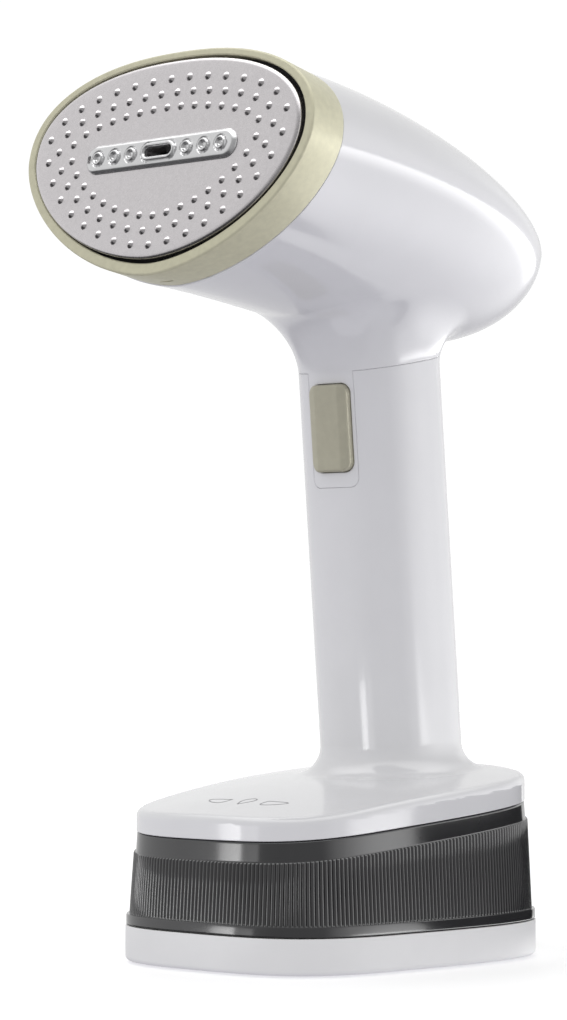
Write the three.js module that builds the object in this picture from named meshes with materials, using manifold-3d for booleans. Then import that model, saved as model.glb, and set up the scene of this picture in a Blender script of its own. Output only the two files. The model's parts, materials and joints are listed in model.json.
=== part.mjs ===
// Handheld garment steamer standing on its water tank.
// Millimetres, +Z up, front (soleplate side) towards -Y, mirror plane X = 0.
// The origin is the middle of the underside of the base, on the resting surface.
import * as THREE from 'three';
import { mergeVertices } from 'three/addons/utils/BufferGeometryUtils.js';
import Module from 'manifold-3d';

const wasm = await Module();
wasm.setup();

// ---------------------------------------------------------------- driving dimensions
const GAP = 0.3; // clearance between neighbouring pieces
const WALL = 2.2; // moulded wall thickness
const RADIAL = 36; // points round the lofted outlines

// plan outline of the base: a superellipse that widens towards the rear
const FOOT = {
  splitY: -20.4, front: 41.6, rear: 82.1, half: 49.6, frontPower: 3.23, rearPower: 3.34, flare: 0.37,
};

// heights of the base, from the resting surface up; the two sloping lines rise towards the rear
const PAD = { halfX: 40, halfY: 32, power: 2.4, thick: 1.4 };
const CAP = { bottom: 0.6, floor: 4.2, top: 11.7, wall: 2.4, edge: 1.6 };
const BAND_TOP = 15.2; // top of the smooth lower band of the tank
const RIB_LINE = { atOrigin: 39.35, slope: 0.095 };
const SEAM_LINE = { atOrigin: 45.19, slope: 0.089 };
const SHOULDER = { inset: 3.4, wallHeight: 5.5, height: 9.5, crown: 1.4, centreY: 20 };
const TANK = {
  floorBottom: 7, floorTop: 10, ledge: 34, ledgeWidth: 2.2, ledgeThick: 1.4, coverThick: 2.2, coverTop: 38,
  bandInset: 0.15, bandTopInset: 0.35, ribInset: 1.2, ribTopInset: 2.5, upperInset: 3.2, rimInset: 3.75,
  bore: 6,
};
const GASKET = { width: 1.7, thick: 1.2 };

// handle: a sheared superellipse column that leans forward
const GRIP = { halfX: 22, halfY: 20.8, power: 2.5, axisY: 38.89, lean: 0.0898 };
const NECK = { bottom: 203.5, sideLift: 8, frontRadius: 17, rearRadius: 9 };
const FOOT_FILLET = { frontRadius: 9, rearRadius: 2.5 };

// head: egg-shaped sections square to an axis that points forward and up
const HEAD = {
  tilt: THREE.MathUtils.degToRad(11.1), centre: new THREE.Vector3(0, -77.8, 248.3), length: 148,
  half: 58.6, top: 29.2, bottom: 40.9, widestAt: 3, topPower: 2.3, bottomPower: 1.72, tailPower: 1.9,
  tailHeight: 3.48, camber: 19.93, spigot: 2.4, spigotFront: 8, boreRear: 4,
};
// each size of a head section fades to nothing at the tail as (1 - q^start)^(1/round)
const TAPER = {
  half: { start: 3.4, round: 2.24 }, top: { start: 1.61, round: 1.72 }, bottom: { start: 3.65, round: 2.14 },
};
const RING = { front: -2, rear: -16, half: 58.9, top: 29.4, bottom: 41.4, wall: 1.8, lip: 3 };
const PLATE = { face: -0.5, back: -6, half: 54.5, top: 26.1, bottom: 36.4, topPower: 2.25, bottomPower: 1.8 };
const NOZZLE = {
  halfLength: 31, halfWidth: 4.7, height: 1.1, pitch: 6.9, first: 11.5, slot: 6.8, hole: 0.9,
};

// seam between the head moulding and the handle moulding, with the front panel below it
const HEAD_SEAM = { atOrigin: 185.75, slope: 0.19 };
const PANEL = { half: 9.3, bottom: 149.3, radius: 3 };
const BUTTON = { centreZ: 168.3, width: 15.6, height: 28, proud: 2.2, radius: 3.2, travel: 2.2 };

// docking between tank and body
const DOCK = { y: 22, bore: 4.6, tube: 2.6, outer: 7.7, tubeBottom: 17 };
const FILLER = { y: -30, radius: 9, flange: 11.5 };
const LATCH = { y: 58.7, z: 54.6, width: 15, height: 5.4, depth: 7, proud: 0.9 };
const LATCH_POST = { y: 44.5, width: 12, thick: 3, top: 50 };
const SCREWS = [[-34, -38], [34, -38], [-40, 38], [40, 38]];
const SCREW = {
  head: 3, headLow: 1, headHigh: 2.3, shank: 1.2, slot: 3.6, slotWidth: 0.8, recess: 3.4, hole: 1.9,
};
const BOSS = { radius: 4, bore: 1.5, cover: 1.2 };
const CORD = { z: 72, hole: 5.3 };

// steam chamber and its fittings, in the head frame: sizes, then depths behind the soleplate
const BOILER = { half: 46, top: 18, bottom: 27, chamfer: 3, front: -8, rear: -24 };
const CHAMBER_LID = { half: 36, top: 12, bottom: 18, front: -25.6, rear: -31 };
const STEAM_INLET = { radius: 3, y: -8, rear: -37 };
const TERMINAL = { radius: 2.2, x: 41, y: 3, front: -24.3, rear: -36 };
const THERMOSTAT = { radius: 6, y: 3.5, front: -31.3, rear: -38 };
const FUSE = { width: 14, height: 3, depth: 3.4, y: -13.2, middle: -33.1 };
const SHIELD = { half: 34, top: 12, bottom: 20, front: -40, rear: -41.2, opening: 5 };

// pump and its plumbing inside the handle
const PUMP = {
  low: 84, bodyTop: 99, coilTop: 124, top: 131, inlet: 78, z: 92,
  body: 9, coil: 13, outlet: 6, inletRadius: 2.6,
};
const STEAM_HOSE = { radius: 2.6, offset: 10 };
const SUCTION_HOSE = { radius: 2.4, low: 62.4 };
const SUCTION = { tubeTop: 62, bore: 1.4, flange: 6, flangeLow: 50, flangeHigh: 51.5, filterLow: 12.4 };

// ---------------------------------------------------------------- materials
const finish = (color, roughness, metalness = 0) =>
  new THREE.MeshStandardMaterial({ color, roughness, metalness });
const WHITE = finish(0xeeeeef, 0.12);
const CAP_WHITE = finish(0xd8d8d8, 0.35);
const SMOKE = finish(0x3a3a3c, 0.15);
const CHAMPAGNE = finish(0xb5af8a, 0.35, 0.7);
const BUTTON_TONE = finish(0xa6a287, 0.45, 0.2);
const STEEL = finish(0xb9b4b6, 0.3, 0.9);
const BRIGHT = finish(0xd5d5d8, 0.2, 0.9);
const CAST = finish(0x9a9c9e, 0.5, 0.8);
const RUBBER = finish(0x1e1e1f, 0.8);
const SILICONE = finish(0xd9d4cc, 0.6);
const BLACK = finish(0x1b1c1e, 0.5);
const BOARD = finish(0x1f5a3a, 0.5);
const COPPER = finish(0x9c5a2e, 0.4, 0.6);

// ---------------------------------------------------------------- geometry helpers
const clampRoot = (value, power) => Math.max(0, value) ** (1 / power);
const signedPower = (value, power) => Math.sign(value) * Math.abs(value) ** power;

// closed outline whose upper and lower halves are superellipses of their own height and power
function eggOutline(half, top, bottom, topPower, bottomPower, centre = 0, count = RADIAL) {
  return Array.from({ length: count }, (_, i) => {
    const angle = (2 * Math.PI * i) / count;
    const upper = Math.sin(angle) >= 0;
    const power = 2 / (upper ? topPower : bottomPower);
    const x = half * signedPower(Math.cos(angle), power);
    const y = centre + (upper ? top : bottom) * signedPower(Math.sin(angle), power);
    return new THREE.Vector2(x, y);
  });
}

function footOutline(count = RADIAL) {
  const length = FOOT.front + FOOT.rear;
  const egg = eggOutline(FOOT.half, FOOT.rear, FOOT.front, FOOT.rearPower, FOOT.frontPower, 0, count);
  return egg.map((p) => new THREE.Vector2(p.x * (1 + (FOOT.flare * p.y) / length), p.y + FOOT.splitY));
}

// moves each point of a counter-clockwise outline inwards along its normal
function insetOutline(outline, distance) {
  return outline.map((point, i) => {
    const next = outline[(i + 1) % outline.length];
    const before = outline[(i + outline.length - 1) % outline.length];
    const along = next.clone().sub(before).normalize();
    return new THREE.Vector2(point.x - along.y * distance, point.y + along.x * distance);
  });
}

// solid through a run of rings with equal point counts, closed by a fan at each end
function loft(rings) {
  const count = rings[0].length;
  const positions = rings.flat().flatMap((p) => [p.x, p.y, p.z]);
  const middle = (ring) => ring.reduce((sum, p) => sum.add(p), new THREE.Vector3()).divideScalar(count);
  for (const ring of [rings[0], rings[rings.length - 1]]) positions.push(...middle(ring).toArray());
  const first = rings.length * count;
  const lastRing = (rings.length - 1) * count;
  const index = [];
  for (let i = 0; i < count; i += 1) {
    const j = (i + 1) % count;
    index.push(first, j, i, first + 1, lastRing + i, lastRing + j);
    for (let base = 0; base < lastRing; base += count) {
      index.push(base + i, base + j, base + count + j, base + i, base + count + j, base + count + i);
    }
  }
  const geometry = new THREE.BufferGeometry();
  geometry.setAttribute('position', new THREE.Float32BufferAttribute(positions, 3));
  geometry.setIndex(index);
  return geometry;
}

// ring of 3-D points from a plan outline, with the height given as a number or a function of y
function level(outline, height) {
  const heightAt = typeof height === 'function' ? height : () => height;
  return outline.map((p) => new THREE.Vector3(p.x, p.y, heightAt(p.y)));
}

// band through rings that close on themselves: the last ring joins the first
function tubeLoft(rings) {
  const count = rings[0].length;
  const positions = rings.flat().flatMap((p) => [p.x, p.y, p.z]);
  const index = [];
  rings.forEach((_, r) => {
    const base = r * count;
    const above = ((r + 1) % rings.length) * count;
    for (let i = 0; i < count; i += 1) {
      const j = (i + 1) % count;
      index.push(base + i, base + j, above + j, base + i, above + j, above + i);
    }
  });
  const geometry = new THREE.BufferGeometry();
  geometry.setAttribute('position', new THREE.Float32BufferAttribute(positions, 3));
  geometry.setIndex(index);
  return geometry;
}

function signedVolume(geometry) {
  const p = geometry.attributes.position;
  const at = (i) => new THREE.Vector3().fromBufferAttribute(p, geometry.index.getX(i));
  let volume = 0;
  for (let i = 0; i < geometry.index.count; i += 3) volume += at(i).dot(at(i + 1).cross(at(i + 2)));
  return volume;
}

function facingOut(geometry) {
  if (signedVolume(geometry) > 0) return geometry;
  const flipped = Array.from(geometry.index.array);
  for (let i = 0; i < flipped.length; i += 3) [flipped[i], flipped[i + 1]] = [flipped[i + 1], flipped[i]];
  geometry.setIndex(flipped);
  return geometry;
}

function solid(geometry) {
  const bare = geometry.clone();
  bare.deleteAttribute('normal');
  bare.deleteAttribute('uv');
  const merged = facingOut(mergeVertices(bare, 1e-4));
  return new wasm.Manifold(new wasm.Mesh({
    numProp: 3,
    vertProperties: new Float32Array(merged.attributes.position.array),
    triVerts: new Uint32Array(merged.index.array),
  }));
}

function geometryOf(manifold) {
  const mesh = manifold.getMesh();
  const geometry = new THREE.BufferGeometry();
  geometry.setAttribute('position', new THREE.Float32BufferAttribute(mesh.vertProperties, 3));
  geometry.setIndex(new THREE.Uint32BufferAttribute(mesh.triVerts, 1));
  return geometry;
}

const joined = (...parts) => parts.map(solid).reduce((all, part) => all.add(part));
const without = (geometry, ...tools) =>
  geometryOf(tools.reduce((rest, tool) => rest.subtract(solid(tool)), solid(geometry)));

// cylinder standing along Z between two heights
function post(radius, low, high, x = 0, y = 0, sides = 24) {
  return new THREE.CylinderGeometry(radius, radius, high - low, sides)
    .rotateX(Math.PI / 2).translate(x, y, (low + high) / 2);
}

function block(x, y, z, width, depth, height) {
  return new THREE.BoxGeometry(width, depth, height).translate(x, y, z);
}

// ring turned from a closed profile of [radius, height] points, standing along Z
function turned(profile, sides = 24) {
  const points = profile.concat([profile[0]]).map(([r, z]) => new THREE.Vector2(r, z));
  return new THREE.LatheGeometry(points, sides).rotateX(Math.PI / 2);
}

function roundedRectangle(width, height, radius) {
  const shape = new THREE.Shape();
  const [x, y] = [width / 2, height / 2];
  shape.moveTo(radius - x, -y);
  shape.lineTo(x - radius, -y);
  shape.absarc(x - radius, radius - y, radius, -Math.PI / 2, 0);
  shape.lineTo(x, y - radius);
  shape.absarc(x - radius, y - radius, radius, 0, Math.PI / 2);
  shape.lineTo(radius - x, y);
  shape.absarc(radius - x, y - radius, radius, Math.PI / 2, Math.PI);
  shape.lineTo(-x, radius - y);
  shape.absarc(radius - x, radius - y, radius, Math.PI, 1.5 * Math.PI);
  return shape;
}

const extruded = (shape, depth, curveSegments = 8) =>
  new THREE.ExtrudeGeometry(shape, { depth, bevelEnabled: false, curveSegments });

// hose of round section along a smooth route
function hose(points, radius, steps) {
  const path = new THREE.CatmullRomCurve3(points.map((p) => new THREE.Vector3(...p)));
  const section = new THREE.Shape().absarc(0, 0, radius, 0, 2 * Math.PI);
  return new THREE.ExtrudeGeometry(section, { steps, extrudePath: path, curveSegments: 5 });
}

function piece(name, geometry, material) {
  const mesh = new THREE.Mesh(geometry, material);
  mesh.name = name;
  return mesh;
}

const ribLine = (y) => RIB_LINE.atOrigin + RIB_LINE.slope * y;
const seamLine = (y) => SEAM_LINE.atOrigin + SEAM_LINE.slope * y;
const gripAxisY = (z) => GRIP.axisY - GRIP.lean * z;
const foot = footOutline();

// ---------------------------------------------------------------- base and tank
function padOutline(margin) {
  const halfY = PAD.halfY + margin;
  return eggOutline(PAD.halfX + margin, halfY, halfY, PAD.power, PAD.power);
}

function basePad() {
  return loft([level(padOutline(0), 0), level(padOutline(0), PAD.thick)]);
}

function baseCap() {
  const shell = loft([
    level(padOutline(GAP), PAD.thick + GAP),
    level(padOutline(GAP), CAP.bottom),
    level(insetOutline(foot, CAP.edge), CAP.bottom),
    level(insetOutline(foot, CAP.edge * 0.3), CAP.bottom + CAP.edge * 0.3),
    level(foot, CAP.bottom + CAP.edge),
    level(foot, CAP.top),
    level(insetOutline(foot, CAP.wall), CAP.top),
    level(insetOutline(foot, CAP.wall), CAP.floor),
  ]);
  const holes = SCREWS.flatMap(([x, y]) => [
    post(SCREW.recess, 0, SCREW.headHigh + GAP, x, y), post(SCREW.hole, 0, CAP.floor + 0.8, x, y, 16),
  ]);
  return without(shell, ...holes);
}

function tankBody() {
  const inside = CAP.wall + GAP;
  const shell = loft([
    level(insetOutline(foot, inside), TANK.floorBottom),
    level(insetOutline(foot, inside), CAP.top + GAP),
    level(insetOutline(foot, TANK.bandInset), CAP.top + GAP),
    level(insetOutline(foot, TANK.bandTopInset), BAND_TOP),
    level(insetOutline(foot, TANK.ribInset), BAND_TOP + GAP),
    level(insetOutline(foot, TANK.ribTopInset), ribLine),
    level(insetOutline(foot, TANK.upperInset), (y) => ribLine(y) + GAP),
    level(insetOutline(foot, TANK.rimInset), (y) => seamLine(y) - GAP / 2),
    level(insetOutline(foot, TANK.bore), (y) => seamLine(y) - GAP / 2),
    level(insetOutline(foot, TANK.bore), TANK.ledge),
    level(insetOutline(foot, TANK.bore + TANK.ledgeWidth), TANK.ledge),
    level(insetOutline(foot, TANK.bore + TANK.ledgeWidth), TANK.ledge - TANK.ledgeThick),
    level(insetOutline(foot, TANK.bore - 0.2), TANK.ledge - TANK.ledgeThick - TANK.ledgeWidth),
    level(insetOutline(foot, TANK.bore - 0.6), TANK.floorTop),
  ]);
  const bosses = SCREWS.map(([x, y]) => post(BOSS.radius, CAP.floor + GAP, TANK.floorBottom + 1, x, y));
  const boreTop = TANK.floorTop - BOSS.cover;
  const bores = SCREWS.map(([x, y]) => solid(post(BOSS.bore, CAP.floor, boreTop, x, y, 16)));
  return geometryOf(bores.reduce((rest, bore) => rest.subtract(bore), joined(shell, ...bosses)));
}

function baseScrew(x, y) {
  const { headLow, headHigh, slot, slotWidth } = SCREW;
  const head = post(SCREW.head, headLow, headHigh, x, y);
  const shank = post(SCREW.shank, headHigh - GAP, TANK.floorTop - BOSS.cover - 0.4, x, y, 12);
  const cross = [block(x, y, 1.2, slot, slotWidth, 1.4), block(x, y, 1.2, slotWidth, slot, 1.4)];
  return without(geometryOf(joined(head, shank)), ...cross);
}

function tankGasket() {
  const outer = insetOutline(foot, TANK.bore + GAP);
  const inner = insetOutline(foot, TANK.bore + GAP + GASKET.width);
  const [low, high] = [TANK.ledge + GAP, TANK.ledge + GAP + GASKET.thick];
  return facingOut(tubeLoft([level(outer, low), level(outer, high), level(inner, high), level(inner, low)]));
}

function tankCover() {
  const edge = insetOutline(foot, TANK.bore + GAP);
  const plate = loft([level(edge, TANK.coverTop - TANK.coverThick), level(edge, TANK.coverTop)]);
  const collar = post(FILLER.radius + 2, TANK.ledge + 0.4, TANK.coverTop - 1, 0, FILLER.y, 32);
  const floor = TANK.ledge - 2;
  const filler = post(FILLER.radius, floor, TANK.coverTop + 1, 0, FILLER.y, 32);
  const dock = post(DOCK.outer + GAP, floor, TANK.coverTop + 1, 0, DOCK.y, 32);
  return geometryOf(joined(plate, collar).subtract(solid(filler)).subtract(solid(dock)));
}

function fillerPlug() {
  const top = TANK.coverTop + GAP;
  const stopper = post(FILLER.radius - GAP, TANK.coverTop - 2.2, top + 0.5, 0, FILLER.y, 32);
  const flange = post(FILLER.flange, top, top + 1.5, 0, FILLER.y, 32);
  const tab = block(0, FILLER.y, top + 2.1, 12, 2, 1.6);
  return geometryOf(joined(stopper, flange, tab));
}

function dockSocket() {
  const top = TANK.coverTop + GAP;
  return turned([
    [DOCK.bore, 29], [DOCK.outer, 29], [DOCK.outer, top], [DOCK.outer + 2.4, top],
    [DOCK.outer + 2.4, top + 1.5], [DOCK.bore, top + 1.5],
  ]).translate(0, DOCK.y, 0);
}

function dockRing() {
  const section = Array.from({ length: 6 }, (_, i) => {
    const angle = (2 * Math.PI * i) / 6;
    return [3.65 + 0.6 * Math.cos(angle), 35 + 0.8 * Math.sin(angle)];
  });
  return turned(section, 18).translate(0, DOCK.y, 0);
}

function latchPost() {
  const base = TANK.coverTop + GAP;
  const { y, width, thick, top } = LATCH_POST;
  const column = block(0, y, (base + top) / 2, width, thick, top - base);
  const rib = block(0, y - thick, base + 3, 2, 4, 6);
  const foundation = block(0, y - thick / 2, base + 0.75, width + 4, 8, 1.5);
  return geometryOf(joined(column, rib, foundation));
}

// ---------------------------------------------------------------- housing
const headMatrix = new THREE.Matrix4()
  .makeRotationX(Math.PI / 2 - HEAD.tilt)
  .setPosition(HEAD.centre);

// ring of the head moulding at a fraction q of its length; shrink is the inward offset
function headRing(q, shrink, depth) {
  const size = (key) => (HEAD[key] - shrink) * clampRoot(1 - q ** TAPER[key].start, TAPER[key].round);
  const centre = THREE.MathUtils.lerp(HEAD.widestAt, HEAD.tailHeight, q) + HEAD.camber * q * (1 - q);
  const topPower = THREE.MathUtils.lerp(HEAD.topPower, HEAD.tailPower, q);
  const bottomPower = THREE.MathUtils.lerp(HEAD.bottomPower, HEAD.tailPower, q);
  return eggOutline(size('half'), size('top'), size('bottom'), topPower, bottomPower, centre)
    .map((p) => new THREE.Vector3(p.x, p.y, depth));
}

function headLoft(shrink, steps) {
  const length = HEAD.length - shrink;
  const hollow = shrink > 0;
  const spigot = hollow ? shrink + HEAD.spigot : HEAD.spigot;
  const rings = [
    headRing(0, spigot, hollow ? 0 : RING.rear + HEAD.spigotFront),
    headRing(0, spigot, RING.rear - (hollow ? HEAD.boreRear : GAP)),
  ];
  for (let i = hollow ? 1 : 0; i < steps; i += 1) {
    const fraction = Math.sin((i / steps) * 0.5 * Math.PI);
    rings.push(headRing(fraction, shrink, RING.rear - GAP - fraction * length));
  }
  return loft(rings.reverse()).applyMatrix4(headMatrix);
}

// horizontal section of the handle, grown outwards by a fillet that differs front to rear
function gripRing(z, shrink, grow) {
  const count = RADIAL * 0.75;
  return Array.from({ length: count }, (_, i) => {
    const angle = (2 * Math.PI * i) / count;
    const [c, s] = [Math.cos(angle), Math.sin(angle)];
    const extra = grow(c, s) - shrink;
    const x = (GRIP.halfX + extra) * signedPower(c, 2 / GRIP.power);
    const y = gripAxisY(z) + (GRIP.halfY + extra) * signedPower(s, 2 / GRIP.power);
    return new THREE.Vector3(x, y, z);
  });
}

// how far a quarter-round fillet of that radius stands out at a height below its top
function filletGrowth(radius, below) {
  if (below >= radius) return 0;
  const rise = radius - Math.max(below, 0.02 * radius);
  return radius - Math.sqrt(radius * radius - rise * rise);
}

function neckGrowth(z) {
  return (c, s) => {
    const radius = THREE.MathUtils.lerp(NECK.frontRadius, NECK.rearRadius, (1 + s) / 2);
    return filletGrowth(radius, NECK.bottom + NECK.sideLift * c * c - z);
  };
}

function footGrowth(z) {
  return (c, s) => {
    const { frontRadius, rearRadius } = FOOT_FILLET;
    const radius = THREE.MathUtils.lerp(frontRadius, rearRadius, Math.max(0, s) ** 3);
    const surface = seamLine(gripAxisY(z) + GRIP.halfY * s) + SHOULDER.height + SHOULDER.crown;
    return filletGrowth(radius, z - surface);
  };
}

function gripLoft(shrink) {
  const heights = [53, 56, 59, 62, 66, 186, 191, 195.5, 199.5, 203, 207, 210];
  return loft(heights.map((z) => gripRing(z, shrink, z < 120 ? footGrowth(z) : neckGrowth(z))));
}

// white skirt over the tank, with a rolled edge and a gently crowned top
function shoulderLoft(shrink) {
  const { inset, wallHeight, height, crown, centreY } = SHOULDER;
  const start = shrink > 0 ? -4 : GAP / 2;
  const side = [
    [0, start], [0.1, wallHeight], [0.5, wallHeight + 2], [1.6, wallHeight + 3.3], [3.4, height],
  ];
  const rings = side.map(([inwards, up]) => {
    const rise = up > start ? up - shrink : up;
    return level(insetOutline(foot, inset + shrink + inwards), (y) => seamLine(y) + rise);
  });
  const edge = insetOutline(foot, inset + shrink + 3.4);
  for (const scale of [0.85, 0.6, 0.3]) {
    const lift = height - shrink + crown * (1 - scale * scale);
    const plan = edge.map((p) => new THREE.Vector2(p.x * scale, centreY + (p.y - centreY) * scale));
    rings.push(level(plan, (y) => seamLine(y) + lift));
  }
  return loft(rings);
}

// everything that belongs to the head moulding: above the sloping seam, plus the front panel
function headRegion(margin) {
  const slope = Math.atan(HEAD_SEAM.slope);
  const above = block(0, 0, 150 - margin, 300, 400, 300).rotateX(slope).translate(0, 0, HEAD_SEAM.atOrigin);
  const tall = 60;
  const outline = roundedRectangle(2 * (PANEL.half + margin), tall, PANEL.radius + margin);
  const panel = extruded(outline, 60).rotateX(Math.PI / 2)
    .translate(0, gripAxisY(BUTTON.centreZ), PANEL.bottom - margin + tall / 2);
  return joined(above, panel);
}

// frame at the middle of the button opening, with local Y pointing out of the handle
function buttonFrame() {
  const lean = Math.atan(GRIP.lean);
  return new THREE.Matrix4().makeRotationX(lean)
    .setPosition(0, gripAxisY(BUTTON.centreZ) - GRIP.halfY, BUTTON.centreZ);
}

// upright rounded block in the button frame, from one depth (into the handle) to another
function buttonBlock(width, height, radius, outer, inner) {
  return extruded(roundedRectangle(width, height, radius), inner - outer, 6)
    .rotateX(-Math.PI / 2).translate(0, outer, 0);
}

const housing = {
  outer: joined(headLoft(0, 12), gripLoft(0), shoulderLoft(0)),
  inner: joined(headLoft(WALL, 7), gripLoft(WALL), shoulderLoft(WALL)),
};
housing.shell = housing.outer.subtract(housing.inner);

function headShell() {
  const opening = buttonBlock(BUTTON.width + 2 * GAP, BUTTON.height + 2 * GAP, BUTTON.radius + GAP, -8, 9)
    .applyMatrix4(buttonFrame());
  return geometryOf(housing.shell.intersect(headRegion(0)).subtract(solid(opening)));
}

function gripShell() {
  const latchHole = block(0, LATCH.y, LATCH.z, LATCH.width + 2 * GAP, 14, LATCH.height + 2 * GAP);
  const cordHole = new THREE.CylinderGeometry(CORD.hole, CORD.hole, 16, 24)
    .translate(0, gripAxisY(CORD.z) + GRIP.halfY, CORD.z);
  const openings = [headRegion(GAP), solid(latchHole), solid(cordHole)];
  return geometryOf(openings.reduce((rest, opening) => rest.subtract(opening), housing.shell));
}

// ---------------------------------------------------------------- head fittings, in the head frame
const headLevel = (size, shrink, depth) =>
  eggOutline(size.half - shrink, size.top - shrink, size.bottom - shrink, size.topPower ?? HEAD.topPower,
    size.bottomPower ?? HEAD.bottomPower, HEAD.widestAt).map((p) => new THREE.Vector3(p.x, p.y, depth));

function trimRing() {
  const lip = { half: PLATE.half + 1.1, top: PLATE.top + 1, bottom: PLATE.bottom + 1.2 };
  const rear = { half: RING.half, top: RING.top - 0.2, bottom: RING.bottom - 0.8 };
  return facingOut(tubeLoft([
    headLevel(lip, 0, RING.front),
    headLevel(RING, 0.6, RING.front),
    headLevel(RING, 0, RING.front - 0.7),
    headLevel(rear, 0, RING.rear),
    headLevel(rear, RING.wall, RING.rear),
    headLevel(RING, RING.wall, RING.front - RING.lip),
    headLevel(lip, 0, RING.front - RING.lip),
  ]));
}

function soleplate() {
  return loft([
    headLevel(PLATE, 0.9, PLATE.back),
    headLevel(PLATE, 0.3, PLATE.face - 1.2),
    headLevel(PLATE, 0, PLATE.face - 0.8),
    headLevel(PLATE, 0.4, PLATE.face - 0.2),
    headLevel(PLATE, 1.4, PLATE.face),
  ]);
}

function plateGasket() {
  const outer = { half: RING.half, top: RING.top, bottom: RING.bottom };
  return facingOut(tubeLoft([
    headLevel(PLATE, 1.6, PLATE.back - GAP),
    headLevel(outer, RING.wall + 0.4, PLATE.back - GAP),
    headLevel(outer, RING.wall + 0.4, PLATE.back - 1.6),
    headLevel(PLATE, 4, PLATE.back - 1.6),
    headLevel(PLATE, 4, PLATE.back - GAP),
  ]));
}

function nozzleBar() {
  const shape = roundedRectangle(2 * NOZZLE.halfLength, 2 * NOZZLE.halfWidth, NOZZLE.halfWidth - 0.01);
  for (const side of [-1, 1]) {
    for (let i = 0; i < 3; i += 1) {
      const x = side * (NOZZLE.first + i * NOZZLE.pitch);
      shape.holes.push(new THREE.Path().absarc(x, 0, NOZZLE.hole, 0, 2 * Math.PI, true));
    }
  }
  const slot = roundedRectangle(2 * NOZZLE.slot - 4, 2.6, 1.29);
  shape.holes.push(new THREE.Path(slot.getPoints(4)));
  return extruded(shape, NOZZLE.height, 5).translate(0, 0, PLATE.face + GAP);
}

function boilerBlock() {
  const { chamfer, front, rear } = BOILER;
  const ring = (shrink, depth) => headLevel(BOILER, shrink, depth);
  return loft([ring(0, rear), ring(0, front - 2), ring(chamfer, front)]);
}

function boilerSeal() {
  const ring = (shrink, depth) => headLevel(CHAMBER_LID, shrink, depth);
  const [front, rear, width] = [BOILER.rear - GAP, CHAMBER_LID.front + GAP, 3];
  return facingOut(tubeLoft([ring(0, rear), ring(0, front), ring(width, front), ring(width, rear)]));
}

function boilerCover() {
  const { front, rear } = CHAMBER_LID;
  const ring = (shrink, depth) => headLevel(CHAMBER_LID, shrink, depth);
  const lid = loft([ring(2, rear), ring(0, rear + 2), ring(0, front)]);
  const inlet = post(STEAM_INLET.radius, STEAM_INLET.rear, rear + 1, 0, STEAM_INLET.y, 20);
  return geometryOf(joined(lid, inlet));
}

function heatShield() {
  const { front, rear, opening } = SHIELD;
  const sheet = loft([headLevel(SHIELD, 0, rear), headLevel(SHIELD, 0, front)]);
  return without(sheet, post(opening, rear - 2, front + 2, 0, STEAM_INLET.y, 20));
}

function headFittings() {
  const terminal = (x) => post(TERMINAL.radius, TERMINAL.rear, TERMINAL.front, x, TERMINAL.y, 16);
  const group = new THREE.Group();
  group.applyMatrix4(headMatrix);
  group.add(
    piece('trim_ring', trimRing(), CHAMPAGNE),
    piece('soleplate', soleplate(), STEEL),
    piece('nozzle_bar', nozzleBar(), BRIGHT),
    piece('plate_gasket', plateGasket(), RUBBER),
    piece('boiler_block', boilerBlock(), CAST),
    piece('boiler_seal', boilerSeal(), SILICONE),
    piece('boiler_cover', boilerCover(), CAST),
    piece('heater_terminal_left', terminal(-TERMINAL.x), STEEL),
    piece('heater_terminal_right', terminal(TERMINAL.x), STEEL),
    piece('thermostat', post(THERMOSTAT.radius, THERMOSTAT.rear, THERMOSTAT.front, 0, THERMOSTAT.y), BLACK),
    piece('thermal_fuse', block(0, FUSE.y, FUSE.middle, FUSE.width, FUSE.height, FUSE.depth), SILICONE),
    piece('heat_shield', heatShield(), SILICONE),
  );
  return group;
}

// ---------------------------------------------------------------- handle contents
function gripContents() {
  const frame = buttonFrame();
  const inFrame = (geometry) => geometry.applyMatrix4(frame);
  const pumpLow = post(PUMP.body, PUMP.low, PUMP.bodyTop, 0, gripAxisY(PUMP.z));
  const pumpNipple = post(PUMP.inletRadius, PUMP.inlet, PUMP.low + 2, 0, gripAxisY(PUMP.z), 16);
  const switchBody = without(block(0, 16, 0, 6.4, 10, 20),
    new THREE.CylinderGeometry(1.9, 1.9, 7, 16).translate(0, 13.5, 0));
  const spring = [
    block(0, 19, 18, 8, 4, 2), block(0, 13, 18.6, 8, 10, 0.8), block(0, 8.4, 15.4, 8, 0.8, 7.2),
  ];
  const plunger = new THREE.CylinderGeometry(1.5, 1.5, 5, 16).translate(0, 10.8, 0);
  return [
    piece('pump_body', geometryOf(joined(pumpLow, pumpNipple)), BLACK),
    piece('pump_coil', post(PUMP.coil, PUMP.bodyTop + GAP, PUMP.coilTop, 0, gripAxisY(112)), COPPER),
    piece('pump_outlet', post(PUMP.outlet, PUMP.coilTop + GAP, PUMP.top, 0, gripAxisY(130)), BLACK),
    piece('control_board', inFrame(block(0, 22.3, 2, 26, 1.6, 50)), BOARD),
    piece('microswitch', inFrame(switchBody), BLACK),
    piece('switch_plunger', inFrame(plunger), CAP_WHITE),
    piece('button_spring', inFrame(geometryOf(joined(...spring))), STEEL),
    piece('steam_hose', hose([
      [0, gripAxisY(130), PUMP.top + 0.4], [0, gripAxisY(130), PUMP.top + 2.5], [0, gripAxisY(145) + 8, 143],
      [0, gripAxisY(150) + STEAM_HOSE.offset, 150], [0, gripAxisY(180) + STEAM_HOSE.offset, 180],
      [0, gripAxisY(205) + 8, 205], [0, -8, 226], [0, -34.2, 232.3],
    ], STEAM_HOSE.radius, 20), SILICONE),
  ];
}

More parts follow.
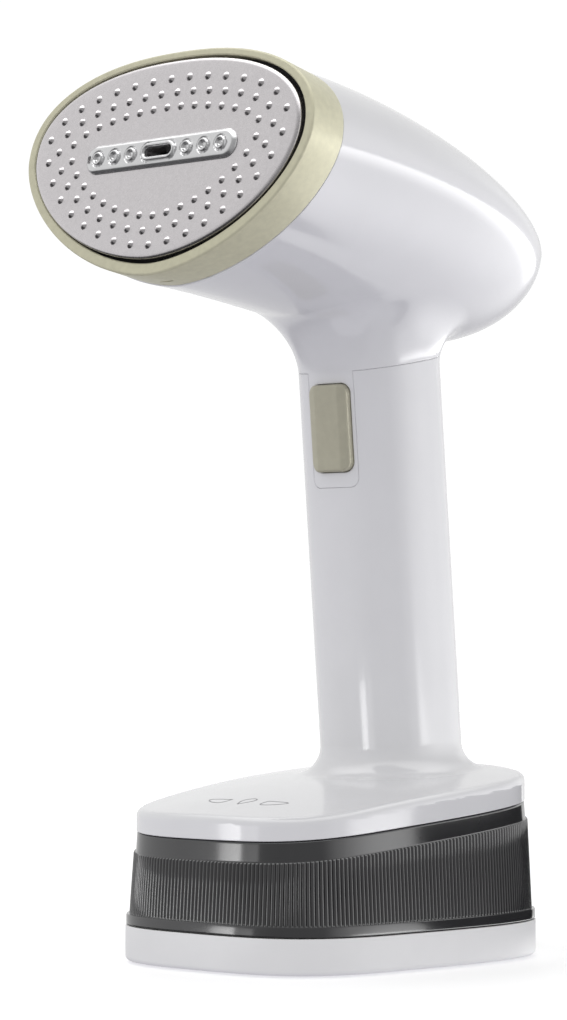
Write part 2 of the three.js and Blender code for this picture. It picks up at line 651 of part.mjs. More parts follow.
function steamButton() {
  const { width, height, radius, proud } = BUTTON;
  const cap = buttonBlock(width, height, radius, 0.9 - proud, 4);
  const face = buttonBlock(width - 1.4, height - 1.4, radius - 0.7, -proud, 1);
  const flange = buttonBlock(width + 2.4, height + 3, radius, 3.8, 4.8);
  const stem = new THREE.CylinderGeometry(2.4, 2.4, 3.6, 16).translate(0, 6.2, 0);
  return geometryOf(joined(cap, face, flange, stem)).applyMatrix4(buttonFrame());
}

// ---------------------------------------------------------------- docking and latch
function suctionTube() {
  const tube = post(DOCK.tube, DOCK.tubeBottom, SUCTION.tubeTop, 0, DOCK.y, 20);
  const flange = post(SUCTION.flange, SUCTION.flangeLow, SUCTION.flangeHigh, 0, DOCK.y);
  const bore = post(SUCTION.bore, DOCK.tubeBottom - 2, SUCTION.tubeTop + 2, 0, DOCK.y, 12);
  return without(geometryOf(joined(tube, flange)), bore);
}

function suctionFilter() {
  const strainer = post(DOCK.tube + GAP, SUCTION.filterLow, DOCK.tubeBottom - GAP, 0, DOCK.y, 16);
  const spigot = post(1.1, DOCK.tubeBottom - 1, DOCK.tubeBottom + 3, 0, DOCK.y, 12);
  return geometryOf(joined(strainer, spigot));
}

function releaseButton() {
  const depth = LATCH.depth;
  const front = LATCH.y - depth + LATCH.proud;
  const key = block(0, front + depth / 2, LATCH.z, LATCH.width, depth, LATCH.height);
  const flange = block(0, front, LATCH.z, LATCH.width + 4, 1.5, LATCH.height);
  return geometryOf(joined(key, flange));
}

function latchSpring() {
  const legs = [block(0, 42.6, 56.8, 10, 0.8, 3), block(0, 45.1, 54.6, 10, 0.8, 6)];
  return geometryOf(joined(...legs, block(0, 44, 57.2, 10, 3, 0.8)));
}

function cordGland() {
  const y = gripAxisY(CORD.z) + GRIP.halfY;
  const profile = [[2.9, -6], [5, -6], [5, 0.8], [7.2, 0.8], [7.2, 2], [5.6, 3.2], [4.6, 7.5], [2.9, 7.5]];
  return turned(profile, 20).rotateX(-Math.PI / 2).translate(0, y, CORD.z);
}

// ---------------------------------------------------------------- assembly
const steamer = new THREE.Group();
steamer.add(
  piece('base_pad', basePad(), RUBBER),
  piece('base_cap', baseCap(), CAP_WHITE),
  piece('tank_body', tankBody(), SMOKE),
  piece('tank_gasket', tankGasket(), RUBBER),
  piece('tank_cover', tankCover(), BLACK),
  piece('filler_plug', fillerPlug(), RUBBER),
  piece('dock_socket', dockSocket(), BLACK),
  piece('dock_ring', dockRing(), RUBBER),
  piece('latch_post', latchPost(), BLACK),
  piece('head_shell', headShell(), WHITE),
  piece('grip_shell', gripShell(), WHITE),
  piece('steam_button', steamButton(), BUTTON_TONE),
  piece('suction_tube', suctionTube(), BLACK),
  piece('suction_filter', suctionFilter(), BRIGHT),
  piece('suction_hose', hose([
    [0, gripAxisY(PUMP.z), PUMP.inlet - 0.4], [0, gripAxisY(PUMP.z), PUMP.inlet - 2.5],
    [0, DOCK.y, 65], [0, DOCK.y, SUCTION_HOSE.low],
  ], SUCTION_HOSE.radius, 10), SILICONE),
  piece('release_button', releaseButton(), BUTTON_TONE),
  piece('latch_spring', latchSpring(), STEEL),
  piece('cord_gland', cordGland(), BLACK),
  headFittings(),
  ...SCREWS.map(([x, y], i) => piece(`base_screw_${i + 1}`, baseScrew(x, y), STEEL)),
  ...gripContents(),
);

export default steamer;
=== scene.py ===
"""Garment steamer standing on its water tank: the looks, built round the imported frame.

Lengths are millimetres in the row frame (+Z up, front towards -Y) until make_mesh() turns them into metres.
"""

import json
import math

import bmesh
import bpy
import numpy as np
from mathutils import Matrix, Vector
from mathutils.geometry import delaunay_2d_cdt

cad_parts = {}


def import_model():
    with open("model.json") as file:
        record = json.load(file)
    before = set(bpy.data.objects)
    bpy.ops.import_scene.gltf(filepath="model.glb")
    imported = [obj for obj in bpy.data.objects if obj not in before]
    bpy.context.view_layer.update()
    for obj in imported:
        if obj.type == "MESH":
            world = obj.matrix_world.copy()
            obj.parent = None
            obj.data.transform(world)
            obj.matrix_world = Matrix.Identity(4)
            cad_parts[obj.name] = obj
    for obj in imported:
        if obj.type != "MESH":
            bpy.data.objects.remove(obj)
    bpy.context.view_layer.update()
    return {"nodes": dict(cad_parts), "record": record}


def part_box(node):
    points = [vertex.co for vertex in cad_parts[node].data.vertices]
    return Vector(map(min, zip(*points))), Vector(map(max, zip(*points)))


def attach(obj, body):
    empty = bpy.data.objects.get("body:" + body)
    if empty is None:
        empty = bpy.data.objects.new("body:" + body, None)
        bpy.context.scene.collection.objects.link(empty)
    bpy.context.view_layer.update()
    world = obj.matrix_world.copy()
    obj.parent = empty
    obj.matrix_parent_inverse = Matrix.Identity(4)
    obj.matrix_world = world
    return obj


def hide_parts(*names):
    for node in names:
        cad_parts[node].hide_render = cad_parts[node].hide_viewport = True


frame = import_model()

# ---------------------------------------------------------------- driving dimensions, as the CAD has them
MM = 0.001
GAP = 0.3  # clearance between neighbouring pieces
WALL = 2.2  # moulded wall thickness

FOOT = dict(split=-20.4, front=41.6, rear=82.1, half=49.6, front_power=3.23, rear_power=3.34, flare=0.37)
PAD = dict(half_x=40, half_y=32, power=2.4, thick=1.4)
CAP = dict(bottom=0.6, floor=4.2, top=11.7, wall=2.4, edge=1.6)
BAND_TOP = 15.2
SHOULDER = dict(inset=3.4, height=8.7, crown=2.2, centre_y=20, crown_x=46, crown_y=62, edge=2.0)
TANK = dict(floor_bottom=7, floor_top=10, bore=6, ledge=34, ledge_width=2.2)
GRIP = dict(half_x=22, half_y=20.8, power=2.5, axis_y=38.89, lean=0.0898, low=47, top=214)
NECK_RADIUS = dict(front=17, rear=9)
FOOT_RADIUS = dict(front=9, rear=2.5)
HEAD = dict(
    half=58.6, top=29.2, bottom=40.9, widest=3, top_power=2.3, bottom_power=1.72,
    tail_power=1.9, tail_height=3.48, camber=19.93, length=147.2,
)
TAPER = dict(half=(3.4, 2.24), top=(1.61, 1.72), bottom=(3.65, 2.14))  # start and round of each size's fade
RING = dict(front=-2, rear=-16, half=58.9, top=29.4, bottom=41.4, wall=1.8, lip=3)
PLATE = dict(
    face=-0.5, back=-6, half=54.5, top=26.1, bottom=36.4, top_power=2.25, bottom_power=1.8, rim=1.5,
)
HEAD_SEAM = dict(origin=185.75, slope=0.19)
PANEL = dict(half=9.3, bottom=149.3, height=60, radius=3)
BUTTON = dict(centre_z=168.3, width=15.6, height=28, proud=2.2, radius=3.2)
LATCH = dict(y=58.7, z=54.6, width=15, height=5.4, radius=1.2)
CORD = dict(z=72, hole=5.3)

TILT = math.radians(11.1)
HEAD_CENTRE = np.array([0, -77.8, 248.3])
HEAD_OUT = np.array([0, -math.cos(TILT), math.sin(TILT)])
HEAD_AXES = np.stack([[1, 0, 0], [0, math.sin(TILT), math.cos(TILT)], HEAD_OUT])  # right, up and out
HEAD_START = RING["rear"] - GAP
HEAD_INSIDE = np.array([0, 8.0, -55.0])  # a point deep inside the head, in its own axes
RAY_REACH = 160.0  # from there to beyond every side of the head

SOLE_FACE = PLATE["face"] - 0.4  # flat of the plate, below the tips of its dimples
DIMPLE = dict(radius=1.3, height=0.95, per_row=32)
DIMPLE_ROWS = (  # half width, top, bottom, upper power, lower power, centre height, and stagger in pitches
    (49.2, 17.0, 35.4, 2.09, 1.78, 6.2, 0.0),
    (44.4, 13.3, 30.0, 2.05, 1.72, 5.3, 0.5),
    (39.0, 9.5, 24.6, 1.87, 1.70, 4.6, 0.0),
)
NOZZLE = dict(
    half=31.0, width=4.7, radius=4.69, height=1.1, first=11.5, pitch=6.9, slot_half=5.6, slot_high=1.5,
    slot_radius=1.49,
)
SLOT_RIDGES = ((0.75, 0.7, 0.6), (-0.35, 1.55, 0.25))  # height, distance from the slot, and width
NOZZLE_RIDGES = ((0.7, 1.65, 0.45), (-0.35, 2.4, 0.25), (0.25, 0, 0.45), (-0.35, 0, 0.95))
RIBS = dict(pitch=1.47, depth=0.5, points=8)
MARKS = dict(y=-38.0, line=0.34, thick=0.06)

VOXEL = 1.1  # mesh size of the white housing
SEAM_GAP = 0.25  # round the buttons
SPLIT_GAP = 0.05  # between the head and the handle mouldings
EDGE = 0.2  # radius that softens every cut edge
MARGIN = 3  # beyond the cuts at the housing's open ends, and the farthest step of one of its points
HEAD_BLEND, SKIRT_BLEND = 150, 100  # heights above and below which the head and the skirt join the handle
ON_SURFACE = 0.05  # a point no farther than this from the housing's outside lies on it
BIG = 400  # side of a cutting block, larger than the object
FAR = 50  # stands for a distance on the wrong side of the handle

CAMERA = dict(azimuth=41.0, rise=2.19, distance=1000.0, target=(0, -20.4, 103.2), lens=112.341, sensor=36)
CARDS = (  # name, both ends in plan, and radiance of the low cards that the tank reflects
    ("card_left", (-89, -173), (-58, -188), 0.75),
    ("card_front", (-58, -188), (-17, -202), 0.14),
)
CARD = dict(height=57, middle=23.5, spread=60)
BLACK_CARD = dict(centre=(45, 30), radius=75, azimuths=range(94, 190, 6), low=-3, high=52)


def seam_line(y):
    return 45.19 + 0.089 * y


def rib_line(y):
    return 39.35 + 0.095 * y


def head_seam_line(y):
    return HEAD_SEAM["origin"] + HEAD_SEAM["slope"] * y


def grip_axis(z):
    return GRIP["axis_y"] - GRIP["lean"] * z


# ---------------------------------------------------------------- outlines and lofts
def signed_power(value, power):
    return np.sign(value) * np.abs(value) ** power


def even(outline, count):
    """The closed outline again, with points the same distance apart."""
    closed = np.vstack([outline, outline[:1]])
    run = np.concatenate([[0], np.cumsum(np.linalg.norm(np.diff(closed, axis=0), axis=1))])
    at = np.linspace(0, run[-1], count, endpoint=False)
    return np.column_stack([np.interp(at, run, closed[:, k]) for k in (0, 1)])


def egg(half, top, bottom, top_power, bottom_power, centre, count):
    """Closed outline whose upper and lower halves are superellipses of their own."""
    angle = np.linspace(0, 2 * math.pi, 16 * count, endpoint=False)
    upper = np.sin(angle) >= 0
    power = 2 / np.where(upper, top_power, bottom_power)
    x = half * signed_power(np.cos(angle), power)
    y = centre + np.where(upper, top, bottom) * signed_power(np.sin(angle), power)
    return even(np.column_stack([x, y]), count)


def foot_outline(count=720):
    outline = egg(
        FOOT["half"], FOOT["rear"], FOOT["front"], FOOT["rear_power"], FOOT["front_power"], 0, 4 * count
    )
    stretch = 1 + FOOT["flare"] * outline[:, 1] / (FOOT["front"] + FOOT["rear"])
    return even(np.column_stack([outline[:, 0] * stretch, outline[:, 1] + FOOT["split"]]), count)


def outward(outline):
    """Unit normals of a counter-clockwise outline."""
    along = np.roll(outline, -1, axis=0) - np.roll(outline, 1, axis=0)
    along /= np.linalg.norm(along, axis=1, keepdims=True)
    return np.column_stack([along[:, 1], -along[:, 0]])


def inset(outline, distance):
    """The outline moved inwards by a distance, or by one distance for each point."""
    return outline - outward(outline) * np.reshape(distance, (-1, 1))


def rounded_rectangle(width, height, radius, corner=10, sides=8):
    """Counter-clockwise outline with round corners and evenly divided sides."""
    arcs = []
    for k, corner_at in enumerate(((1, 1), (-1, 1), (-1, -1), (1, -1))):
        centre = (width / 2 - radius, height / 2 - radius) * np.array(corner_at)
        turn = math.pi / 2 * (k + np.arange(corner + 1) / corner)
        arcs.append(centre + radius * np.column_stack([np.cos(turn), np.sin(turn)]))
    outline = []
    for k in range(4):
        outline.extend(arcs[k])
        start, stop = arcs[k][-1], arcs[(k + 1) % 4][0]
        outline.extend(start + (stop - start) * i / sides for i in range(1, sides))
    return np.array(outline)


def level(outline, height):
    """Ring of 3-D points over a plan outline; the height is a number or a function of y."""
    z = height(outline[:, 1]) if callable(height) else np.full(len(outline), float(height))
    return np.column_stack([outline, z])


def loft(rings, closed=False):
    """Vertices and faces through rings of equal counts: capped at both ends, or closed on itself."""
    count, total = len(rings[0]), len(rings)
    faces = []
    for r in range(total if closed else total - 1):
        base, above = r * count, (r + 1) % total * count
        for i in range(count):
            j = (i + 1) % count
            faces.append((base + i, base + j, above + j, above + i))
    if not closed:
        faces.append(tuple(range(count))[::-1])
        faces.append(tuple(range((total - 1) * count, total * count)))
    return np.vstack(rings), faces


def circle(radius, count):
    """Counter-clockwise round outline."""
    angle = np.linspace(0, 2 * math.pi, count, endpoint=False)
    return radius * np.column_stack([np.cos(angle), np.sin(angle)])


def quarter_turn(steps):
    """Angles from 0 to a right angle."""
    return [math.pi / 2 * i / steps for i in range(steps + 1)]


def turned(profile, count):
    """A closed [radius, height] profile turned round Z."""
    return loft([level(circle(radius, count), height) for radius, height in profile], closed=True)


def joined(parts):
    """Vertices and faces of several solids as those of one."""
    verts, faces, start = [], [], 0
    for part_verts, part_faces in parts:
        verts.append(part_verts)
        faces += [tuple(start + i for i in face) for face in part_faces]
        start += len(part_verts)
    return np.vstack(verts), faces


def rounded_profile(points, radius):
    """A closed 2-D profile with each corner replaced by a small arc."""
    steps = 4
    points = [np.array(p, float) for p in points]
    out = []
    for k, corner in enumerate(points):
        before, after = points[k - 1] - corner, points[(k + 1) % len(points)] - corner
        reach = min(radius, 0.45 * np.linalg.norm(before), 0.45 * np.linalg.norm(after))
        start = corner + before / np.linalg.norm(before) * reach
        stop = corner + after / np.linalg.norm(after) * reach
        for i in range(steps + 1):
            t = i / steps
            out.append((1 - t) ** 2 * start + 2 * t * (1 - t) * corner + t * t * stop)
    return out


def head_point(points):
    """Points given in the head's axes, as points in the row frame."""
    return np.asarray(points, float) @ HEAD_AXES + HEAD_CENTRE


def head_ring(size, shrink, depth, count=360):
    """Egg-shaped ring of the head's fittings, in the head's axes."""
    outline = egg(
        size["half"] - shrink, size["top"] - shrink, size["bottom"] - shrink,
        size.get("top_power", HEAD["top_power"]), size.get("bottom_power", HEAD["bottom_power"]),
        HEAD["widest"], count,
    )
    return level(outline, depth)


def button_point(points):
    """Points in the button's axes (X across, Y into the handle, Z along it), in the row frame."""
    lean = math.atan(GRIP["lean"])
    c, s = math.cos(lean), math.sin(lean)
    turn = np.array([[1, 0, 0], [0, c, -s], [0, s, c]])
    z = BUTTON["centre_z"]
    return np.asarray(points, float) @ turn.T + np.array([0, grip_axis(z) - GRIP["half_y"], z])


# ---------------------------------------------------------------- meshes and pieces
def make_mesh(name, verts, faces):
    """A mesh object from millimetres, its faces turned outwards."""
    mesh = bpy.data.meshes.new(name)
    mesh.from_pydata((np.asarray(verts) * MM).tolist(), [], [tuple(int(i) for i in f) for f in faces])
    mesh.validate()
    obj = bpy.data.objects.new(name, mesh)
    bpy.context.scene.collection.objects.link(obj)
    tidy(obj)
    return obj


def tidy(obj):
    """Joins vertices at the same place and turns all faces outwards."""
    bm = bmesh.new()
    bm.from_mesh(obj.data)
    bmesh.ops.remove_doubles(bm, verts=bm.verts, dist=1e-7)
    bmesh.ops.recalc_face_normals(bm, faces=bm.faces)
    bm.to_mesh(obj.data)
    bm.free()


def applied(obj):
    """Replaces the object's mesh by what its modifiers make of it."""
    graph = bpy.context.evaluated_depsgraph_get()
    mesh = bpy.data.meshes.new_from_object(obj.evaluated_get(graph))
    old = obj.data
    obj.modifiers.clear()
    obj.data = mesh
    bpy.data.meshes.remove(old)


def boolean(obj, tool, operation="DIFFERENCE"):
    """Cuts or joins with a tool object, which is then removed."""
    modifier = obj.modifiers.new("cut", "BOOLEAN")
    modifier.operation = operation
    modifier.solver = "MANIFOLD"
    modifier.object = tool
    applied(obj)
    mesh = tool.data
    bpy.data.objects.remove(tool)
    bpy.data.meshes.remove(mesh)
    return obj


def copied(obj, name):
    twin = bpy.data.objects.new(name, obj.data.copy())
    bpy.context.scene.collection.objects.link(twin)
    return twin


def shade(obj, angle):
    """Smooth shading with sharp edges above an angle."""
    obj.data.shade_smooth()
    obj.data.set_sharp_from_angle(angle=math.radians(angle))


def piece(obj, body, slot, *nodes, angle=35, material=None):
    """A finished piece: its shading, its material, the body it rides on and the CAD nodes it stands for."""
    if angle:
        shade(obj, angle)
    obj.data.materials.clear()
    obj.data.materials.append(material or MATERIALS[slot])
    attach(obj, body)
    if nodes:
        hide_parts(*nodes)


def coordinates(mesh):
    co = np.zeros(len(mesh.vertices) * 3, np.float32)
    mesh.vertices.foreach_get("co", co)
    return co.reshape(-1, 3).astype(float) / MM


def set_coordinates(mesh, points):
    mesh.vertices.foreach_set("co", (points * MM).astype(np.float32).ravel())
    mesh.update()


# ---------------------------------------------------------------- the white housing as a distance field
def unit(vectors):
    return vectors / np.maximum(np.linalg.norm(vectors, axis=1, keepdims=True), 1e-9)


def head_section(q):
    """Half width, top and bottom of the head at a fraction of its length, and the height of its middle."""
    sizes = [HEAD[key] * (1 - q ** start) ** (1 / rounding) for key, (start, rounding) in TAPER.items()]
    centre = HEAD["widest"] * (1 - q) + HEAD["tail_height"] * q + HEAD["camber"] * q * (1 - q)
    return *sizes, centre


def head_level(local):
    """The head's section at each point of its own axes: 1 on the surface, less inside."""
    x, u, depth = local.T
    share = (HEAD_START - depth) / HEAD["length"]
    q = np.clip(share, 0, 0.99999)
    half, top, bottom, centre = head_section(q)
    v = u - centre
    power = np.where(v > 0, HEAD["top_power"], HEAD["bottom_power"]) * (1 - q) + HEAD["tail_power"] * q
    value = (np.abs(x) / half) ** power + (np.abs(v) / np.where(v > 0, top, bottom)) ** power
    return np.where(share >= 1, 1e3, value)


def numeric_gradient(function, points):
    step = 0.02
    columns = []
    for k in range(points.shape[1]):
        shift = np.zeros(points.shape[1])
        shift[k] = step
        columns.append(function(points + shift) - function(points - shift))
    return np.column_stack(columns) / (2 * step)


def head_field(points):
    """Distance and normal of the head, found along rays from a point inside it."""
    local = (points - HEAD_CENTRE) @ HEAD_AXES.T
    foot = local.copy()
    for _ in range(2):
        ray = unit(foot - HEAD_INSIDE)
        low, high = np.zeros(len(ray)), np.full(len(ray), RAY_REACH)
        for _ in range(26):
            half = (low + high) / 2
            inside = head_level(HEAD_INSIDE + ray * half[:, None]) < 1
            low, high = np.where(inside, half, low), np.where(inside, high, half)
        surface = HEAD_INSIDE + ray * low[:, None]
        normal = unit(numeric_gradient(head_level, surface))
        tip = surface[:, 2] < HEAD_START - 0.9995 * HEAD["length"]
        normal[tip] = [0, 0, -1]
        distance = ((local - surface) * normal).sum(axis=1)
        foot = local - normal * distance[:, None]
    return distance, normal @ HEAD_AXES


def grip_field(points):
    """Distance and normal of the leaning superellipse column, closed inside the head."""
    foot = points.copy()
    power = GRIP["power"]
    for _ in range(3):
        a = foot[:, 0] / GRIP["half_x"]
        b = (foot[:, 1] - grip_axis(foot[:, 2])) / GRIP["half_y"]
        value = (np.abs(a) ** power + np.abs(b) ** power) ** (1 / power)
        slope_a = signed_power(a / value, power - 1) / GRIP["half_x"]
        slope_b = signed_power(b / value, power - 1) / GRIP["half_y"]
        gradient = np.column_stack([slope_a, slope_b, slope_b * GRIP["lean"]])
        foot = foot - gradient * ((value - 1) / (gradient ** 2).sum(axis=1))[:, None]
    normal = unit(gradient)
    distance = ((points - foot) * normal).sum(axis=1)
    above = points[:, 2] - GRIP["top"]
    capped = above > distance
    normal[capped] = [0, 0, 1]
    return np.where(capped, above, distance), normal


def foot_level(plan):
    x, y = plan[:, 0], plan[:, 1] - FOOT["split"]
    stretch = 1 + FOOT["flare"] * y / (FOOT["front"] + FOOT["rear"])
    power = np.where(y > 0, FOOT["rear_power"], FOOT["front_power"])
    a = np.abs(x) / (FOOT["half"] * stretch)
    b = np.abs(y) / np.where(y > 0, FOOT["rear"], FOOT["front"])
    return (a ** power + b ** power) ** (1 / power) - 1


def shoulder_top(plan):
    across, along = plan[:, 0], plan[:, 1] - SHOULDER["centre_y"]
    spread = (across / SHOULDER["crown_x"]) ** 2 + (along / SHOULDER["crown_y"]) ** 2
    return seam_line(plan[:, 1]) + SHOULDER["height"] + SHOULDER["crown"] * (1 - spread)


def shoulder_field(points):
    """Distance and normal of the skirt over the tank: upright sides, a round edge and a crowned top."""
    plan = points[:, :2].copy()
    for _ in range(4):
        slope = numeric_gradient(foot_level, plan)
        plan -= slope * (foot_level(plan) / (slope ** 2).sum(axis=1))[:, None]
    side_normal = np.column_stack([unit(numeric_gradient(foot_level, plan)), np.zeros(len(plan))])
    side = ((points[:, :2] - plan) * side_normal[:, :2]).sum(axis=1) + SHOULDER["inset"]
    slope = numeric_gradient(shoulder_top, points[:, :2])
    top_normal = unit(np.column_stack([-slope, np.ones(len(points))]))
    top = (points[:, 2] - shoulder_top(points[:, :2])) * top_normal[:, 2]
    edge = SHOULDER["edge"]
    out_side, out_top = np.maximum(edge + side, 0), np.maximum(edge + top, 0)
    length = np.hypot(out_side, out_top)
    distance = np.minimum(-edge, np.maximum(side, top)) + length
    mixed = unit(side_normal * out_side[:, None] + top_normal * out_top[:, None])
    nearest = np.where((side > top)[:, None], side_normal, top_normal)
    return distance, np.where((length > 0)[:, None], mixed, nearest)


def filleted(a, b, radius):
    """Union of two fields with a round fillet of that radius between them."""
    (near, near_normal), (far, far_normal) = a, b
    in_a, in_b = np.maximum(radius - near, 0), np.maximum(radius - far, 0)
    distance = np.maximum(radius, np.minimum(near, far)) - np.hypot(in_a, in_b)
    mixed = unit(near_normal * in_a[:, None] + far_normal * in_b[:, None])
    single = np.where((near < far)[:, None], near_normal, far_normal)
    both = (in_a > 0) & (in_b > 0)
    return distance, np.where(both[:, None], mixed, single)


def housing_field(points):
    """Distance and outward normal of the whole white housing."""
    away_y = points[:, 1] - grip_axis(points[:, 2])
    backward = away_y / np.maximum(np.hypot(points[:, 0], away_y), 1e-6)
    neck = NECK_RADIUS["front"] + (NECK_RADIUS["rear"] - NECK_RADIUS["front"]) * (1 + backward) / 2
    rear_share = np.maximum(backward, 0) ** 3
    foot = FOOT_RADIUS["front"] + (FOOT_RADIUS["rear"] - FOOT_RADIUS["front"]) * rear_share
    distance, normal = grip_field(points)
    high = points[:, 2] > HEAD_BLEND
    if high.any():
        head = head_field(points[high])
        distance[high], normal[high] = filleted((distance[high], normal[high]), head, neck[high])
    low = points[:, 2] < SKIRT_BLEND
    if low.any():
        skirt = shoulder_field(points[low])
        distance[low], normal[low] = filleted((distance[low], normal[low]), skirt, foot[low])
    return distance, normal


def fixed_ends(points):
    """The open ends of the housing, which are cut off later: in front of the ring and under the seam."""
    depth = (points - HEAD_CENTRE) @ HEAD_OUT
    return (depth > HEAD_START + MARGIN) | (points[:, 2] < seam_line(points[:, 1]) - MARGIN)


def onto_housing(points, steps=4):
    """Moves points onto the housing's surface, except at its two open ends."""
    free = ~fixed_ends(points)
    for _ in range(steps):
        distance, normal = housing_field(points[free])
        points[free] -= normal * np.clip(distance, -MARGIN, MARGIN)[:, None]
    return points


def relaxed(mesh, points, rounds):
    """Evens the spacing of the vertices over the surface."""
    edges = np.zeros(len(mesh.edges) * 2, np.int32)
    mesh.edges.foreach_get("vertices", edges)
    a, b = edges.reshape(-1, 2).T
    free = ~fixed_ends(points)
    for _ in range(rounds):
        total = np.zeros_like(points)
        np.add.at(total, a, points[b])
        np.add.at(total, b, points[a])
        share = np.bincount(np.concatenate([a, b]), minlength=len(points))[:, None]
        points[free] = (0.4 * points + 0.6 * total / share)[free]
        points = onto_housing(points, 1)
    return points


def voxel_remeshed(obj, size):
    modifier = obj.modifiers.new("voxels", "REMESH")
    modifier.mode = "VOXEL"
    modifier.voxel_size = size * MM
    applied(obj)


def head_outline(q):
    """Outline of the head at a fraction of its length."""
    *sizes, centre = head_section(q)
    powers = [HEAD[key] * (1 - q) + HEAD["tail_power"] * q for key in ("top_power", "bottom_power")]
    return egg(*sizes, *powers, centre, 96)


def rough_housing():
    """Head, handle and skirt as one rough closed surface, to be drawn onto the field."""
    quarter = [math.sin(i / 24 * math.pi / 2) for i in range(24)]
    head = [level(head_outline(0), HEAD_START + 8)]
    head += [level(head_outline(q), HEAD_START - q * HEAD["length"]) for q in quarter]
    column = egg(GRIP["half_x"], GRIP["half_y"], GRIP["half_y"], GRIP["power"], GRIP["power"], 0, 80)
    grip = [level(column + [0, grip_axis(z)], z) for z in (GRIP["low"], GRIP["top"])]
    edge = inset(foot_outline(160), SHOULDER["inset"])
    top = [level(edge, lambda y, rise=rise: seam_line(y) + rise) for rise in (-8, SHOULDER["height"])]
    solids = (loft([head_point(ring) for ring in head]), loft(grip), loft(top))
    return make_mesh("housing", *joined(solids))


def smooth_housing():
    """Closed fine mesh of the housing's outside."""
    obj = rough_housing()
    for rounds in (1, 2):
        voxel_remeshed(obj, VOXEL)
        points = relaxed(obj.data, onto_housing(coordinates(obj.data)), rounds)
        set_coordinates(obj.data, points)
    return obj


def hollowed(obj):
    """Adds the inside of a moulded wall to a closed mesh."""
    outer = coordinates(obj.data)
    normal = housing_field(outer)[1]
    ends = fixed_ends(outer)
    vertex_normals = np.zeros(len(outer) * 3, np.float32)
    obj.data.vertices.foreach_get("normal", vertex_normals)
    normal[ends] = vertex_normals.reshape(-1, 3)[ends]
    bm = bmesh.new()
    bm.from_mesh(obj.data)
    skin = bmesh.ops.duplicate(bm, geom=bm.verts[:] + bm.edges[:] + bm.faces[:])
    bm.verts.ensure_lookup_table()
    count = len(outer)
    for i in range(count):
        bm.verts[count + i].co = Vector((outer[i] - WALL * normal[i]) * MM)
    bmesh.ops.reverse_faces(bm, faces=[g for g in skin["geom"] if isinstance(g, bmesh.types.BMFace)])
    bm.to_mesh(obj.data)
    bm.free()
    return obj


# ---------------------------------------------------------------- where the housing is split and opened
def rounded_box_distance(x, y, half_x, half_y, radius):
    """Signed distance to a rounded rectangle, negative inside."""
    dx, dy = np.abs(x) - (half_x - radius), np.abs(y) - (half_y - radius)
    outside = np.hypot(np.maximum(dx, 0), np.maximum(dy, 0))
    return outside + np.minimum(np.maximum(dx, dy), 0) - radius


def head_region(points):
    """Distance inside the head moulding: above the sloping seam, or within the front panel."""
    x, y, z = points.T
    above = (z - head_seam_line(y)) / math.hypot(1, HEAD_SEAM["slope"])
    half_z = PANEL["height"] / 2
    panel = -rounded_box_distance(x, z - PANEL["bottom"] - half_z, PANEL["half"], half_z, PANEL["radius"])
    panel = np.where(y < grip_axis(z), panel, -FAR)
    return np.maximum(above, panel)


def button_hole(points):
    """Distance outside the button's opening."""
    x, y, z = points.T
    along = (z - BUTTON["centre_z"]) / math.cos(math.atan(GRIP["lean"]))
    half_x, half_z = BUTTON["width"] / 2 + SEAM_GAP, BUTTON["height"] / 2 + SEAM_GAP
    hole = rounded_box_distance(x, along, half_x, half_z, BUTTON["radius"])
    return np.where(y < grip_axis(z), hole, FAR)


def latch_hole(points):
    """Distance outside the release button's opening."""
    x, y, z = points.T
    half_x, half_z = LATCH["width"] / 2 + SEAM_GAP, LATCH["height"] / 2 + SEAM_GAP
    hole = rounded_box_distance(x, z - LATCH["z"], half_x, half_z, LATCH["radius"])
    return np.where(y > grip_axis(z), hole, FAR)


def cord_hole(points):
    """Distance outside the round hole for the cord."""
    x, y, z = points.T
    return np.where(y > grip_axis(z), np.hypot(x, z - CORD["z"]) - CORD["hole"], FAR)


def head_end(points):
    """Distance behind the end that the ring covers."""
    return HEAD_START - (points - HEAD_CENTRE) @ HEAD_OUT


def skirt_end(points):
    """Height above the skirt's lower edge."""
    return points[:, 2] - seam_line(points[:, 1]) - GAP / 2


def prism(outline, low, high, place=np.array):
    """Solid from a plan outline between two depths, its points put in place by a function."""
    verts, faces = loft([level(outline, low), level(outline, high)])
    return make_mesh("tool", place(verts), faces)


def along_y(points):
    """Turns a prism that stands along Z so that it lies along Y and its plan is upright."""
    return np.column_stack([points[:, 0], points[:, 2], points[:, 1]])


def block(low, high, place):
    """Solid between two depths, wider than the object, its points put in place by a function."""
    return prism(BIG / 2 * np.array([[-1, -1], [1, -1], [1, 1], [-1, 1]]), low, high, place)


def lifted(line, stretch=1.0):
    """A placing function that stretches heights and lifts them by a sloping line."""
    return lambda points: points * [1, 1, stretch] + np.outer(line(points[:, 1]), [0, 0, 1])


def region_tool(margin):
    """Solid of everything that belongs to the head moulding, grown by a margin."""
    above = block(-margin, BIG, lifted(head_seam_line, math.hypot(1, HEAD_SEAM["slope"])))
    outline = rounded_rectangle(2 * (PANEL["half"] + margin), PANEL["height"], PANEL["radius"] + margin)
    outline[:, 1] += PANEL["bottom"] - margin + PANEL["height"] / 2
    panel = prism(outline, -60, grip_axis(BUTTON["centre_z"]), along_y)
    return boolean(above, panel, "UNION")


def opened(obj, *tools):
    """Cuts each tool out of the object."""
    for tool in tools:
        boolean(obj, tool)


